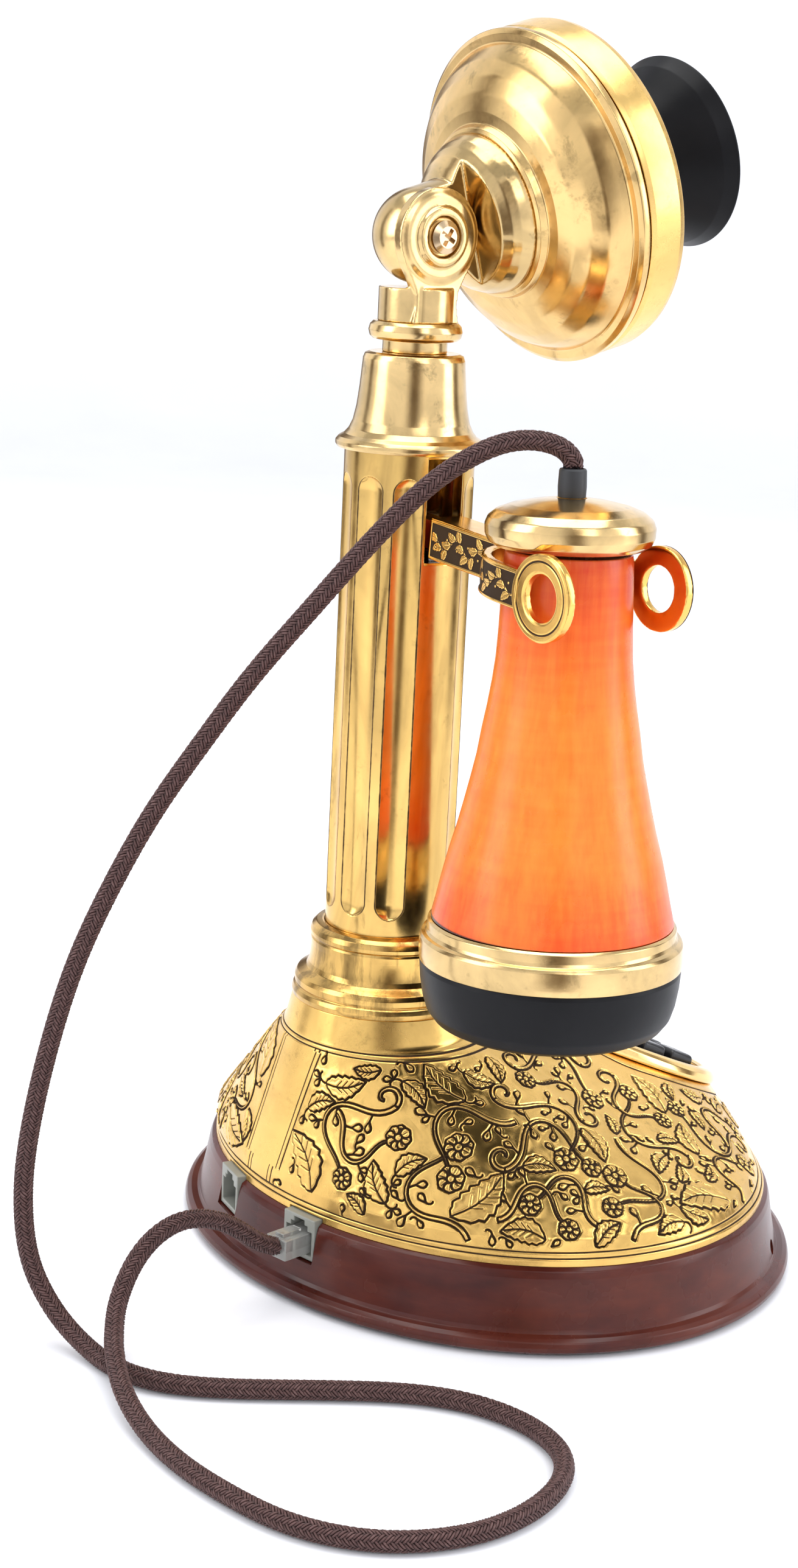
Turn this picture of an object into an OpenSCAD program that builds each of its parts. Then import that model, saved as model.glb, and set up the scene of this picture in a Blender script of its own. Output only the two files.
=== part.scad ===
// Candlestick telephone with push-button keypad.
// Millimetres, +Z up, front (mouthpiece) towards -Y, receiver hook towards -X.
// The origin is the centre of the felt face that the telephone stands on.

/* [Plinth] */
// Half width of the oval plinth, side to side
plinth_half_w = 95.4; // [90:0.1:100]
// Half depth of the oval plinth, front to back
plinth_half_d = 84.5; // [80:0.1:90]
// Height of the plinth's top face
plinth_h = 22.4; // [20:0.1:26]
// Thickness of the wall of the plinth
plinth_wall = 11; // [8:0.5:13]

/* [Column] */
// Distance of the column's axis behind the plinth's centre
column_y = 40; // [36:0.5:42]
// Radius of the fluted column
column_r = 17.45; // [16:0.05:18]
// Wall of the column's tube
column_wall = 2.45; // [2:0.05:3]
// Number of flutes, the slot taking the place of one
flute_count = 10; // [10:1:10]
// Depth of a flute
flute_depth = 1.4; // [0.8:0.1:1.5]
// Height of the foot of the column
foot_z = 98; // [95:0.5:100]
// Height of the underside of the column's cap
cap_z = 229.3; // [226:0.1:232]
// Width of the slot that the hook passes through
slot_w = 12; // [11.6:0.1:12.4]

/* [Transmitter] */
// Height of the knuckle's pivot
knuckle_z = 285; // [280:0.5:290]
// Upward tilt of the transmitter at rest
tilt = 15.6; // [10:0.1:20]
// Radius of the transmitter's face
face_r = 45; // [42:0.5:47]
// Distance of the mouthpiece's lip from the pivot
lip_s = 90.4; // [86:0.1:94]
// Radius of the mouthpiece's lip
lip_r = 26.6; // [24:0.1:28]

/* [Hook] */
// Distance of the hook's pivot from the column's axis
pivot_x = 6; // [4:0.5:8]
// Height of the hook's pivot
pivot_z = 209.6; // [208:0.1:211]
// Droop of the hook with the receiver on it
droop = 4; // [3:0.1:5]
// Half of the gap between the prongs
prong_gap = 17.8; // [17.6:0.1:18.2]
// Thickness of a prong
prong_t = 2.2; // [2:0.1:2.4]

/* [Receiver] */
// Distance of the receiver's neck from the column's axis
receiver_x = 67.9; // [67:0.1:69]
// Height of the receiver's neck
neck_z = 204; // [203:0.5:205]
// Outward lean of the receiver's foot
lean = 1.4; // [0:0.1:2]

/* [Keypad] */
// Slope of the keypad, down to the front
pad_slope = 23; // [20:0.5:30]
// Distance of the keypad's centre in front of the plinth's centre
pad_y = 42; // [38:0.5:44]
// Height of the keypad's centre
pad_z = 52.7; // [50:0.1:56]
// Half width of the oval bezel
pad_half_w = 35; // [32:0.5:36]
// Half length of the oval bezel, along the slope
pad_half_l = 38; // [35:0.5:40]
// Spacing of the keys across
key_pitch_x = 13.4; // [12.5:0.1:14]
// Spacing of the keys along the slope
key_pitch_y = 12.4; // [11.8:0.1:13]
// Travel of a key
key_travel = 1.2; // [0.8:0.1:1.5]

/* [Cord] */
// Diameter of the braided cord
cord_d = 5.2; // [5:0.1:5.6]

/* [Hidden] */
$fn = 64;
eps = 0.01;

brass = [0.80, 0.62, 0.30];
pale_brass = [0.78, 0.70, 0.54];
black = [0.10, 0.10, 0.11];

// ---- shared helpers ----

// Point on an ellipse whose half axes are a and b
function oval(a, b, t) = [a * cos(t), b * sin(t)];

// Solid through a stack of rings that all have the same number of points
module loft(rings) {
    n = len(rings[0]);
    m = len(rings);
    sides = [
        for (i = [0:m - 2], j = [0:n - 1])
            [i * n + j, i * n + (j + 1) % n, (i + 1) * n + (j + 1) % n, (i + 1) * n + j]
    ];
    first = [for (j = [n - 1:-1:0]) j];
    last = [for (j = [0:n - 1]) (m - 1) * n + j];
    polyhedron(
        points = [for (ring = rings, q = ring) q],
        faces = concat([first], sides, [last]),
        convexity = 6
    );
}

// Oval ring of points at height z, drawn in from the plinth's outline by inset
function plinth_ring(inset, z, n = 96) = [
    for (i = [0:n - 1])
        let (q = oval(plinth_half_w - inset, plinth_half_d - inset, -i * 360 / n)) [q[0], q[1], z]
];

module at_column() translate([0, column_y, 0]) children();
// Frame of the keypad: origin on the bezel's front face, +Z out of it, +Y up the slope
module at_pad() translate([0, -pad_y, pad_z]) rotate([pad_slope, 0, 0]) children();
// Frame of the transmitter: +Z forward along its axis from the pivot
module at_transmitter() translate([0, column_y, knuckle_z]) rotate([90 - tilt, 0, 0]) children();
// Frame of the hook lever: origin on the pivot, -X along the arm
module at_hook() translate([pivot_x, column_y, pivot_z]) rotate([0, -droop, 0]) children();
// Frame of the receiver: origin on its neck, +Z along its axis
module at_receiver() translate([-receiver_x, column_y, neck_z]) rotate([0, lean, 0]) children();

// Flat washer or tube
module tube(r_out, r_in, h) {
    difference() {
        cylinder(r = r_out, h = h);
        translate([0, 0, -1]) cylinder(r = r_in, h = h + 2);
    }
}

// Countersunk screw standing on its point end, head at the bottom
module screw(d, h, head_d) {
    cylinder(d1 = head_d, d2 = d, h = 1.2, $fn = 32);
    cylinder(d = d, h = h, $fn = 32);
}

// ---- base ----

felt_t = 1;
plate_z = 1;
plate_t = 1.2;
plate_inset = 5;
cavity_inset = plinth_wall + 3;
shell_inset = 8.4;

// Height and inset of the plinth's moulded side, from the floor up
plinth_profile = [
    [1.6, 0.8], [0.3, 1.8], [0, 3], [0.5, 4.4], [1.8, 5.2], [3.6, 5.5], [4.1, 6.6],
    [5.4, 12], [6.8, 19.8], [7.4, 21.6], [8.6, plinth_h]
];

jack_x = [-15.6, 21];
jack_w = 12;
jack_h = 12;
jack_depth = 16;
jack_z = 11.4;
jack_angle = [9, -12];

// Depth of the plinth's side at jack height, a distance x from the middle
function side_y(x) = (plinth_half_d - 6.6) * sqrt(1 - pow(x / (plinth_half_w - 6.6), 2));

// Frame of jack number i (0 handset, 1 line): origin at the foot of its face, -Y into the plinth
module at_jack(i) translate([jack_x[i], side_y(jack_x[i]) + 0.3, jack_z]) rotate([0, 0, jack_angle[i]]) children();

module jack_pocket() {
    translate([-jack_w / 2 - 0.3, -jack_depth - 4, -0.3]) cube([jack_w + 0.6, jack_depth + 12, jack_h + 0.6]);
}

module plinth() color([0.33, 0.10, 0.07]) {
    difference() {
        loft([for (q = plinth_profile) plinth_ring(q[0], q[1])]);
        loft([plinth_ring(plate_inset, -1), plinth_ring(plate_inset, plate_z + plate_t + 0.1)]);
        loft([plinth_ring(cavity_inset, 0), plinth_ring(cavity_inset, plinth_h + 1)]);
        for (i = [0, 1]) at_jack(i) jack_pocket();
        // small screw hole in the side
        translate([-73.7, -46.7, 8.5]) rotate([0, 78, 214]) cylinder(d = 4.4, h = 8, center = true);
        for (a = [45, 135, 225, 315]) at_plate_screw(a) translate([0, 0, 1]) cylinder(d = 2.6, h = 14);
        for (a = [25, 155, 205, 335]) at_shell_screw(a) translate([0, 0, -1]) {
            cylinder(d = 3.4, h = 30);
            cylinder(d = 7.2, h = 3.21);
        }
    }
}

module at_plate_screw(a) {
    q = oval(plinth_half_w - 9.6, plinth_half_d - 9.6, a);
    translate([q[0], q[1], plate_z]) children();
}

module at_shell_screw(a) {
    q = oval(plinth_half_w - 12.2, plinth_half_d - 12.2, a);
    translate([q[0], q[1], 2.4]) children();
}

module bottom_plate() color([0.16, 0.16, 0.17]) {
    difference() {
        loft([plinth_ring(plate_inset + 0.3, plate_z), plinth_ring(plate_inset + 0.3, plate_z + plate_t)]);
        for (a = [45, 135, 225, 315]) at_plate_screw(a) translate([0, 0, -1]) cylinder(d = 7, h = 4);
    }
}

module base_felt() color([0.12, 0.22, 0.15]) {
    difference() {
        loft([plinth_ring(3.6, 0), plinth_ring(3.6, felt_t - 0.2)]);
        for (a = [45, 135, 225, 315]) at_plate_screw(a) translate([0, 0, -2]) cylinder(d = 7.4, h = 4);
    }
}

module plate_screws() color([0.6, 0.6, 0.62]) {
    for (a = [45, 135, 225, 315]) at_plate_screw(a) screw(2.5, 12, 6);
}

module shell_screws() color([0.6, 0.6, 0.62]) {
    for (a = [25, 155, 205, 335]) at_shell_screw(a) {
        cylinder(d = 6.6, h = 2.2, $fn = 32);
        cylinder(d = 3, h = 22.4, $fn = 32);
    }
}

ballast_y = -8;
module ballast() color([0.30, 0.31, 0.33]) {
    difference() {
        translate([0, ballast_y, plate_z + plate_t + 0.2]) cylinder(r = 36, h = 9.6);
        translate([0, 34, 0]) cylinder(r = 20, h = 30);
        translate([0, ballast_y, 0]) cylinder(r = 6, h = 30);
    }
}

shell_t = 1.3;
shell_band = 7.6;
collar_z = 77;

// Solid shape of the base shell, drawn in by inset
module shell_form(inset) {
    hull() {
        translate([0, 0, plinth_h + eps])
            linear_extrude(1.5)
                polygon([for (i = [0:79]) oval(86.9 - inset, 75.8 - inset, i * 4.5)]);
        translate([0, 2.7, plinth_h + shell_band - inset])
            linear_extrude(1)
                polygon([for (i = [0:79]) oval(84.6 - inset, 72.9 - inset, i * 4.5)]);
        at_column() translate([0, 0, 60]) cylinder(r = 27.4 - inset, h = 9.5 - inset, $fn = 48);
        at_pad() translate([0, 0, -5 - inset])
            linear_extrude(1)
                polygon([for (i = [0:47]) oval(pad_half_w - inset, pad_half_l - inset, i * 7.5)]);
    }
    at_column() translate([0, 0, 69.5 - inset]) cylinder(r1 = 27.4 - inset, r2 = 25.6 - inset, h = 7.5 + inset);
}

module base_shell() color(brass) {
    difference() {
        shell_form(0);
        difference() {
            shell_form(shell_t);
            translate([0, 0, -1]) cylinder(r = 200, h = plinth_h + 1 - eps);
        }
        translate([0, 0, plinth_h - 2]) loft([plinth_ring(10.4, 0), plinth_ring(10.4, 2.5)]);
        at_column() translate([0, 0, 60]) cylinder(r = 22, h = 30);
        for (i = [0, 1]) at_jack(i) jack_pocket();
        at_pad() translate([0, 0, -20]) linear_extrude(30)
            polygon([for (i = [0:47]) oval(pad_half_w - 5, pad_half_l - 5, i * 7.5)]);
    }
    // bosses that take the shell screws
    for (a = [25, 155, 205, 335]) at_shell_screw(a) translate([0, 0, plinth_h - 2.4 + 0.1])
        difference() {
            cylinder(r = 3.4, h = 7.5, $fn = 32);
            translate([0, 0, -1]) cylinder(d = 3.1, h = 6, $fn = 32);
        }
}

// ---- column ----

collar_profile = [
    [19, collar_z], [25.8, collar_z], [26.0, 78.4], [25.6, 79.6], [25.0, 80.0], [25.3, 80.8], [25.3, 82.2],
    [24.6, 83.4], [23.2, 84.2], [22.1, 84.9], [21.5, 86.2], [21.1, 88.6], [21.0, 91.4], [21.2, 93.2],
    [20.9, 93.8], [21.3, 94.4], [21.4, 95.4], [20.9, 96.7], [19.8, 97.7], [18.2, foot_z], [17.6, foot_z]
];

module collar() color(brass) at_column() {
    difference() {
        rotate_extrude($fn = 96) polygon(concat(collar_profile, [[17.6, 92], [14, 92], [14, 84], [19, 84]]));
        for (a = [90, 210, 330]) rotate([0, 0, a]) translate([16.2, 0, 80]) cylinder(d = 2.6, h = 20, $fn = 32);
    }
}

flute_r = 7;
flute_axis = column_r - flute_depth + flute_r;
flute_low = 107;
flute_high = 219;
slot_low = 201;

// Cutter for one flute: a long capsule beside the column
module flute() translate([flute_axis, 0, 0]) rotate_extrude($fn = 96)
    polygon(concat(
        [[0, flute_low - flute_r]],
        [for (t = [-80:10:0]) [flute_r * cos(t), flute_low + flute_r * sin(t)]],
        [for (t = [0:10:80]) [flute_r * cos(t), flute_high + flute_r * sin(t)]],
        [[0, flute_high + flute_r]]
    ));

module column() color(brass) at_column() {
    difference() {
        translate([0, 0, 92.2]) cylinder(r = column_r, h = cap_z - 92.2 + 3.3, $fn = 96);
        translate([0, 0, 90]) cylinder(r = column_r - column_wall, h = 160, $fn = 96);
        for (i = [1:flute_count - 1]) rotate([0, 0, 180 + i * 360 / flute_count]) flute();
        translate([-25, -slot_w / 2, slot_low]) cube([25, slot_w, cap_z - slot_low - 1]);
        rotate([90, 0, 0]) translate([pivot_x, pivot_z, -30]) cylinder(r = 1.55, h = 60);
        for (a = [90, 210, 330]) rotate([0, 0, a]) translate([16.2, 0, 90]) cylinder(d = 2.6, h = 8, $fn = 32);
    }
}

module column_cap() color(pale_brass) at_column() {
    rotate_extrude($fn = 96) polygon([
        [17.6, cap_z], [19.4, cap_z], [20.0, cap_z + 0.8], [20.0, cap_z + 1.8], [19.2, cap_z + 2.8],
        [17.8, cap_z + 3.6], [16.6, cap_z + 5.0], [15.6, cap_z + 7.2], [14.8, cap_z + 11],
        [14.2, cap_z + 16], [13.8, cap_z + 21], [13.6, cap_z + 23.6], [13.1, cap_z + 24.9],
        [12.0, cap_z + 25.4], [4.2, cap_z + 25.4], [4.2, cap_z + 22], [10.8, cap_z + 22],
        [11.6, cap_z + 9], [14, cap_z + 6.4], [17.6, cap_z + 6.4 - 3]
    ]);
}

neck_z0 = cap_z + 25.4;
ring_mid = 260.3;

module neck_ring() color(pale_brass) at_column() {
    rotate_extrude($fn = 96) polygon([
        [4.3, neck_z0], [8.6, neck_z0], [8.6, ring_mid - 2.4], [11.2, ring_mid - 2.3],
        [12.1, ring_mid - 1.5], [12.5, ring_mid], [12.1, ring_mid + 1.5], [11.2, ring_mid + 2.4],
        [4.3, ring_mid + 2.4]
    ]);
}

stem_z = ring_mid + 2.4;
web_z = 271.6;
ear_in = 5.5;
ear_out = 8.7;
ear_r = 12.6;

module ear_outline() {
    circle(r = ear_r, $fn = 96);
    polygon([
        [-7.4, -22.3], [7.4, -22.3], [6.6, -18], [6.8, -14.4], [8.6, -10.6], [10.6, -7.4], [11.6, -4],
        [-11.6, -4], [-10.6, -7.4], [-8.6, -10.6], [-6.8, -14.4], [-6.6, -18]
    ]);
}

module knuckle_fork() color(pale_brass) at_column() {
    difference() {
        union() {
            translate([0, 0, stem_z]) cylinder(r = 10.2, h = web_z - stem_z);
            translate([-ear_out, 0, knuckle_z]) rotate([90, 0, 90]) linear_extrude(ear_out - ear_in) ear_outline();
            // raised boss round the screw's seat
            translate([eps - ear_out, 0, knuckle_z]) rotate([0, -90, 0]) {
                cylinder(r1 = 12.2, r2 = 10.6, h = 0.9, $fn = 96);
                cylinder(r1 = 8.4, r2 = 7.4, h = 2.1);
            }
            translate([0, 0, neck_z0 - 3.2]) cylinder(r = 4.2, h = 14);
        }
        translate([0, 0, knuckle_z]) rotate([0, 90, 0]) {
            cylinder(r = 3.1, h = 60, center = true);
            translate([0, 0, -11]) cylinder(r = 5.3, h = 3.4, center = true);
        }
        translate([0, 0, 200]) cylinder(r = 2, h = 100);
    }
}

// Screw with a cross recess, seated in the near ear
module knuckle_screw() color([0.75, 0.73, 0.70]) at_column() {
    translate([0, 0, knuckle_z]) rotate([0, 90, 0]) difference() {
        union() {
            translate([0, 0, -12.2]) cylinder(r1 = 2.8, r2 = 4.3, h = 0.9);
            translate([0, 0, -11.31]) cylinder(r = 4.3, h = 1.91);
            translate([0, 0, -9.41]) cylinder(r = 3.05, h = 21);
        }
        for (a = [0, 90]) rotate([0, 0, a + 30]) translate([-2.4, -0.6, -13]) cube([4.8, 1.2, 2.2]);
    }
}

module knuckle_nut() color(pale_brass) at_column() {
    translate([0, 0, knuckle_z]) rotate([0, 90, 0]) {
        translate([0, 0, lug_far + 0.2]) tube(6.4, 3.1, 1);
        translate([0, 0, lug_far + 1.19]) rotate([0, 0, 10]) difference() {
            cylinder(r = 5.6, h = 2.6, $fn = 6);
            translate([0, 0, -1]) cylinder(r = 3.1, h = 5);
        }
    }
}

// ---- transmitter ----

lug_near = 5.2;
lug_far = 7.4;
lug_r = 12.6;
boss_s = 21.6;
// Height above the pivot where the dome is cut away to clear the ear
dome_cut = 13.3;

// Round-ended tongue on a dome, held against the ear
module transmitter_lug() color(pale_brass) at_transmitter() {
    difference() {
        union() {
            intersection() {
                union() {
                    sphere(r = lug_r, $fn = 96);
                    cylinder(r = lug_r, h = boss_s - 4, $fn = 96);
                }
                translate([-lug_near, -20, -20]) cube([lug_near + lug_far, 40, 40]);
            }
            difference() {
                rotate_extrude($fn = 96) polygon([
                    [0, 9], [12.6, 9], [15.0, 11], [17.4, 13.3], [19.2, 15.6], [20.5, 18], [21.3, 20.2],
                    [21.5, boss_s], [0, boss_s]
                ]);
                translate([-40 - lug_near, -30, -10]) cube([40, 60, 10 + dome_cut]);
            }
            translate([0, 0, boss_s - 4]) cylinder(r = 10.5, h = 6.4);
        }
        rotate([0, 90, 0]) cylinder(r = 3.11, h = 40, center = true);
        translate([0, 0, 8]) cylinder(r = 2.2, h = 30);
    }
}

rim_s = 39.1;
rim_r = face_r + 0.1;

module transmitter_bell() color(pale_brass) at_transmitter() {
    rotate_extrude($fn = 120) polygon([
        [10.55, boss_s], [21.8, boss_s], [22.7, boss_s + 0.5], [23.0, boss_s + 1.4], [23.4, boss_s + 2.6],
        [26.5, boss_s + 3.0], [31.0, boss_s + 4.4], [35.0, boss_s + 6.8], [38.4, boss_s + 10.2],
        [40.6, boss_s + 13.6], [41.6, rim_s - 1.8], [43.8, rim_s - 1.9], [rim_r, rim_s - 0.9],
        [rim_r, rim_s + 0.8], [44.2, rim_s + 1.7], [42.2, rim_s + 1.9], [42.2, rim_s + 5],
        [41.0, rim_s + 5], [41.0, rim_s + 1], [39.0, boss_s + 14.2], [36.8, boss_s + 11],
        [33.6, boss_s + 8], [30, boss_s + 5.8], [26, boss_s + 4.4], [22, boss_s + 4.2], [10.55, boss_s + 3.4]
    ]);
}

front_s = 53;
module face_ring() color(brass) at_transmitter() {
    difference() {
        rotate_extrude($fn = 120) polygon([
            [42.3, rim_s + 2.0], [44.4, rim_s + 2.0], [44.9, rim_s + 3.4], [face_r, rim_s + 6],
            [face_r + 0.1, front_s - 2.4], [face_r - 0.4, front_s - 0.6], [face_r - 1.6, front_s],
            [43, front_s - 0.2], [42.2, front_s - 1.4], [18.4, front_s - 1.4], [16.8, front_s - 0.6],
            [14.2, front_s - 0.6], [14.2, front_s - 3], [42.3, front_s - 3]
        ]);
        for (a = [30, 150, 270]) rotate([0, 0, a]) translate([36, 0, front_s - 4]) cylinder(d = 3, h = 5, $fn = 32);
    }
}

// Black horn-shaped mouthpiece, threaded into the face
module mouthpiece() color(black) at_transmitter() {
    s0 = front_s - 0.6;
    rotate_extrude($fn = 96) polygon([
        [0, front_s - 5], [13.8, front_s - 5], [13.8, s0], [16.4, s0], [16.4, s0 + 2.4], [14.6, s0 + 3.4],
        [13.4, s0 + 6.5], [13.2, s0 + 10], [13.8, s0 + 14], [15.4, s0 + 19], [18.2, s0 + 24],
        [21.6, s0 + 29], [24.6, s0 + 33.4], [26.0, lip_s - 1.6], [lip_r, lip_s - 0.6], [26.3, lip_s],
        [25.2, lip_s], [23.6, lip_s - 3.0], [20.6, lip_s - 7.6], [17.0, lip_s - 13], [14.2, lip_s - 18],
        [12.2, lip_s - 23], [11.4, lip_s - 27], [11.4, s0 - 1], [0, s0 - 1]
    ]);
}

module microphone() color([0.35, 0.36, 0.38]) at_transmitter() {
    translate([0, 0, front_s - 13.4]) cylinder(r = 24, h = 6, $fn = 64);
    translate([0, 0, front_s - 7.4]) cylinder(r = 11, h = 2.2, $fn = 64);
}

// ---- keypad ----

key_w = 10.4;
key_l = 9.4;
key_proud = 1.6;
plate_top = -1.4;

module keypad_bezel() color(brass) at_pad() {
    difference() {
        union() {
            translate([0, 0, -3.9]) linear_extrude(1.2) polygon(pad_oval(-0.9));
            translate([0, 0, -2.71]) linear_extrude(1.8) polygon(pad_oval(0.2));
            translate([0, 0, -0.92]) linear_extrude(0.92) polygon(pad_oval(1.2));
        }
        translate([0, 0, -10]) linear_extrude(20) polygon(pad_oval(4.4));
    }
}

function pad_oval(inset) = [for (i = [0:63]) oval(pad_half_w - inset, pad_half_l - inset, i * 5.625)];

module key_grid() {
    for (row = [0:3], col = [-1:1])
        translate([col * key_pitch_x, (1.5 - row) * key_pitch_y, 0]) children();
}

module keypad_plate() color(black) at_pad() {
    difference() {
        translate([0, 0, -4]) linear_extrude(4 + plate_top) polygon(pad_oval(4.6));
        key_grid() translate([-key_w / 2 - 0.25, -key_l / 2 - 0.25, -6]) cube([key_w + 0.5, key_l + 0.5, 8]);
    }
}

// Push button with a flange that keeps it behind the plate
module key(row, col, number) color(black) at_pad()
    translate([col * key_pitch_x, (1.5 - row) * key_pitch_y, 0]) {
        translate([-key_w / 2, -key_l / 2, -5.2]) cube([key_w, key_l, 5.2 + key_proud - 0.5]);
        translate([-key_w / 2 + 0.4, -key_l / 2 + 0.4, key_proud - 0.51]) cube([key_w - 0.8, key_l - 0.8, 0.5]);
        translate([-key_w / 2 - 0.9, -key_l / 2 - 0.9, -5.5]) cube([key_w + 1.8, key_l + 1.8, 1.2]);
    }

module key_mat() color([0.45, 0.46, 0.48]) at_pad() {
    translate([-21, -25, -9]) cube([42, 50, 1]);
    key_grid() translate([0, 0, -8.01]) cylinder(r1 = 3.4, r2 = 2.2, h = 1.1, $fn = 32);
}

module keypad_board() color([0.08, 0.35, 0.16]) at_pad() {
    translate([-22, -26, -10.8]) cube([44, 52, 1.6]);
}

// ---- inside the base ----

module main_board() color([0.08, 0.35, 0.16]) {
    translate([-32, 10, 13.4]) difference() {
        cube([64, 42, 1.6]);
        for (x = [3, 61], y = [3, 39]) translate([x, y, -1]) cylinder(d = 3, h = 4, $fn = 32);
    }
}

module ringer() color([0.14, 0.14, 0.15]) {
    translate([44, -34, plate_z + plate_t + 0.2]) difference() {
        cylinder(r = 14, h = 7);
        translate([0, 0, 6]) cylinder(r = 3, h = 3);
    }
}

module jack_body() {
    difference() {
        union() {
            translate([-jack_w / 2, -jack_depth, 0]) cube([jack_w, jack_depth, jack_h]);
            translate([-jack_w / 2 + 2, -jack_depth - 3, 2]) cube([jack_w - 4, 3 + eps, 5]);
        }
        translate([-4.9, -11, 1.4]) cube([9.8, 12, 6.8]);
        translate([-3.2, -11, 8.19]) cube([6.4, 12, 1.4]);
        translate([-2.0, -11, 9.58]) cube([4.0, 12, 1.4]);
    }
}

module line_jack() color([0.80, 0.80, 0.78]) at_jack(1) jack_body();
module handset_jack() color([0.80, 0.80, 0.78]) at_jack(0) jack_body();

module jack_contacts() color([0.85, 0.68, 0.25]) {
    for (i = [0, 1]) at_jack(i) for (k = [-1.5:1.5])
        translate([k * 1.1 - 0.2, -10.9, 1.45]) cube([0.4, 3.2, 0.5]);
}

// ---- hook and switch ----

arm_w = 10.6;
arm_h = 11;
neck_dx = receiver_x + pivot_x;
eye_dx = 87.6;
eye_r = 10.8;
yoke_shift = 2.5;
eye_hole_r = 5.9;
prong_h = 9.8;

// Plan of the fork, about the middle of the receiver's neck
module fork_outline() difference() {
    union() {
        translate([yoke_shift, 0]) circle(r = prong_gap + prong_t, $fn = 96);
        translate([neck_dx - eye_dx - 1, -prong_gap - prong_t]) square([eye_dx - neck_dx + yoke_shift + 1, 2 * (prong_gap + prong_t)]);
    }
    translate([yoke_shift, 0]) circle(r = prong_gap, $fn = 96);
    translate([neck_dx - eye_dx - 9, -prong_gap]) square([eye_dx - neck_dx + yoke_shift + 9, 2 * prong_gap]);
}

module hook_lever() color(brass) at_hook() {
    difference() {
        union() {
            translate([-neck_dx + yoke_shift + prong_gap + 0.6, -arm_w / 2, -arm_h / 2])
                cube([neck_dx - yoke_shift - prong_gap - 24, arm_w, arm_h]);
            translate([-25, -3, -4]) cube([25, 6, 8]);
            rotate([90, 0, 0]) cylinder(r = 5, h = 6, center = true);
            translate([0, -3, -4]) cube([8.3, 6, 3]);
            // fork round the receiver's neck, with an eye at the end of each prong
            translate([-neck_dx, 0, -prong_h / 2]) linear_extrude(prong_h) fork_outline();
            for (y = [prong_gap, -prong_gap - prong_t]) translate([-eye_dx, y, 0]) rotate([-90, 0, 0])
                cylinder(r = eye_r, h = prong_t, $fn = 96);
        }
        rotate([90, 0, 0]) cylinder(r = 1.56, h = 30, center = true);
        translate([-eye_dx, 0, 0]) rotate([90, 0, 0]) cylinder(r = eye_hole_r, h = 60, center = true);
    }
}

module hook_pin() color([0.6, 0.6, 0.62]) at_column() {
    translate([pivot_x, 0, pivot_z]) rotate([90, 0, 0]) cylinder(r = 1.5, h = 29.4, center = true);
}

plunger_x = 11.4;
carrier_z = 184;

// Leaf spring that lifts the arm
module hook_spring() color([0.70, 0.70, 0.72]) at_column() {
    translate([-13.2, -2, carrier_z + 2.3]) cube([0.4, 4, 17.8]);
    translate([-13.2, -2, carrier_z + 19.69]) cube([4, 4, 0.4]);
    translate([-13.2, -2, carrier_z + 2.3]) cube([6, 4, 0.4]);
}

// Switch on a disc that is pressed into the column
module hook_switch() color(black) at_column() {
    difference() {
        translate([0, 0, carrier_z]) cylinder(r = column_r - column_wall - 0.05, h = 2);
        translate([-6, 8, carrier_z - 1]) cylinder(r = 2.4, h = 4, $fn = 32);
    }
    difference() {
        translate([4, -4, carrier_z + 1.99]) cube([9.9, 8, 13]);
        translate([plunger_x, 0, carrier_z + 8]) cylinder(r = 1.35, h = 10, $fn = 32);
    }
}

module switch_plunger() color([0.85, 0.2, 0.15]) at_column() {
    translate([plunger_x, 0, carrier_z + 11]) cylinder(r = 1.3, h = 10.8, $fn = 32);
}

module column_wires() color([0.3, 0.1, 0.1]) at_column() {
    translate([-6, 8, 18]) cylinder(r = 1.6, h = 216, $fn = 16);
}

// ---- receiver ----

handle_profile = [
    [4, 8.4], [14.8, 8.4], [15.9, 7.6], [16.2, 5.5], [16.4, 0], [16.8, -12], [17.2, -19], [17.9, -25],
    [18.9, -31.5], [20.0, -37.5], [21.0, -44], [22.3, -50], [23.8, -56.5], [25.4, -63], [27.2, -69.4],
    [28.8, -76], [30.1, -82], [31.2, -86.6], [27, -86.6], [27, -82], [12, -60], [4, -40]
];

module receiver_handle() color([0.85, 0.32, 0.10]) at_receiver() rotate_extrude($fn = 96) polygon(handle_profile);

module receiver_cap() color(pale_brass) at_receiver() {
    rotate_extrude($fn = 96) polygon([
        [3.7, 8.5], [16.4, 8.5], [18.6, 9.0], [20.4, 10.2], [21.2, 12.0], [21.3, 14.4], [20.6, 16.2],
        [18.6, 17.9], [15, 19.3], [10, 20.4], [5.2, 21.1], [3.7, 21.2]
    ]);
}

module strain_relief() color([0.16, 0.16, 0.17]) at_receiver() {
    difference() {
        union() {
            translate([0, 0, 21.3]) cylinder(r1 = 3.4, r2 = 3.6, h = 7.1);
            translate([0, 0, 9]) cylinder(r = 3.6, h = 12.31);
            translate([0, 0, 5]) cylinder(r = 3.9, h = 3.3);
            translate([0, 0, 8]) cylinder(r = 3.6, h = 1.2);
        }
        translate([0, 0, 1]) cylinder(r = 1.6, h = 40);
    }
}

module receiver_ring() color(pale_brass) at_receiver() {
    rotate_extrude($fn = 96) polygon([
        [28.1, -91], [28.1, -86.7], [31.2, -86.7], [31.9, -87.3], [32.0, -89.4], [32.4, -90.2],
        [33.3, -90.6], [33.8, -91.4], [33.9, -95.6], [33.8, -97.4], [28.1, -97.4]
    ]);
}

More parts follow.
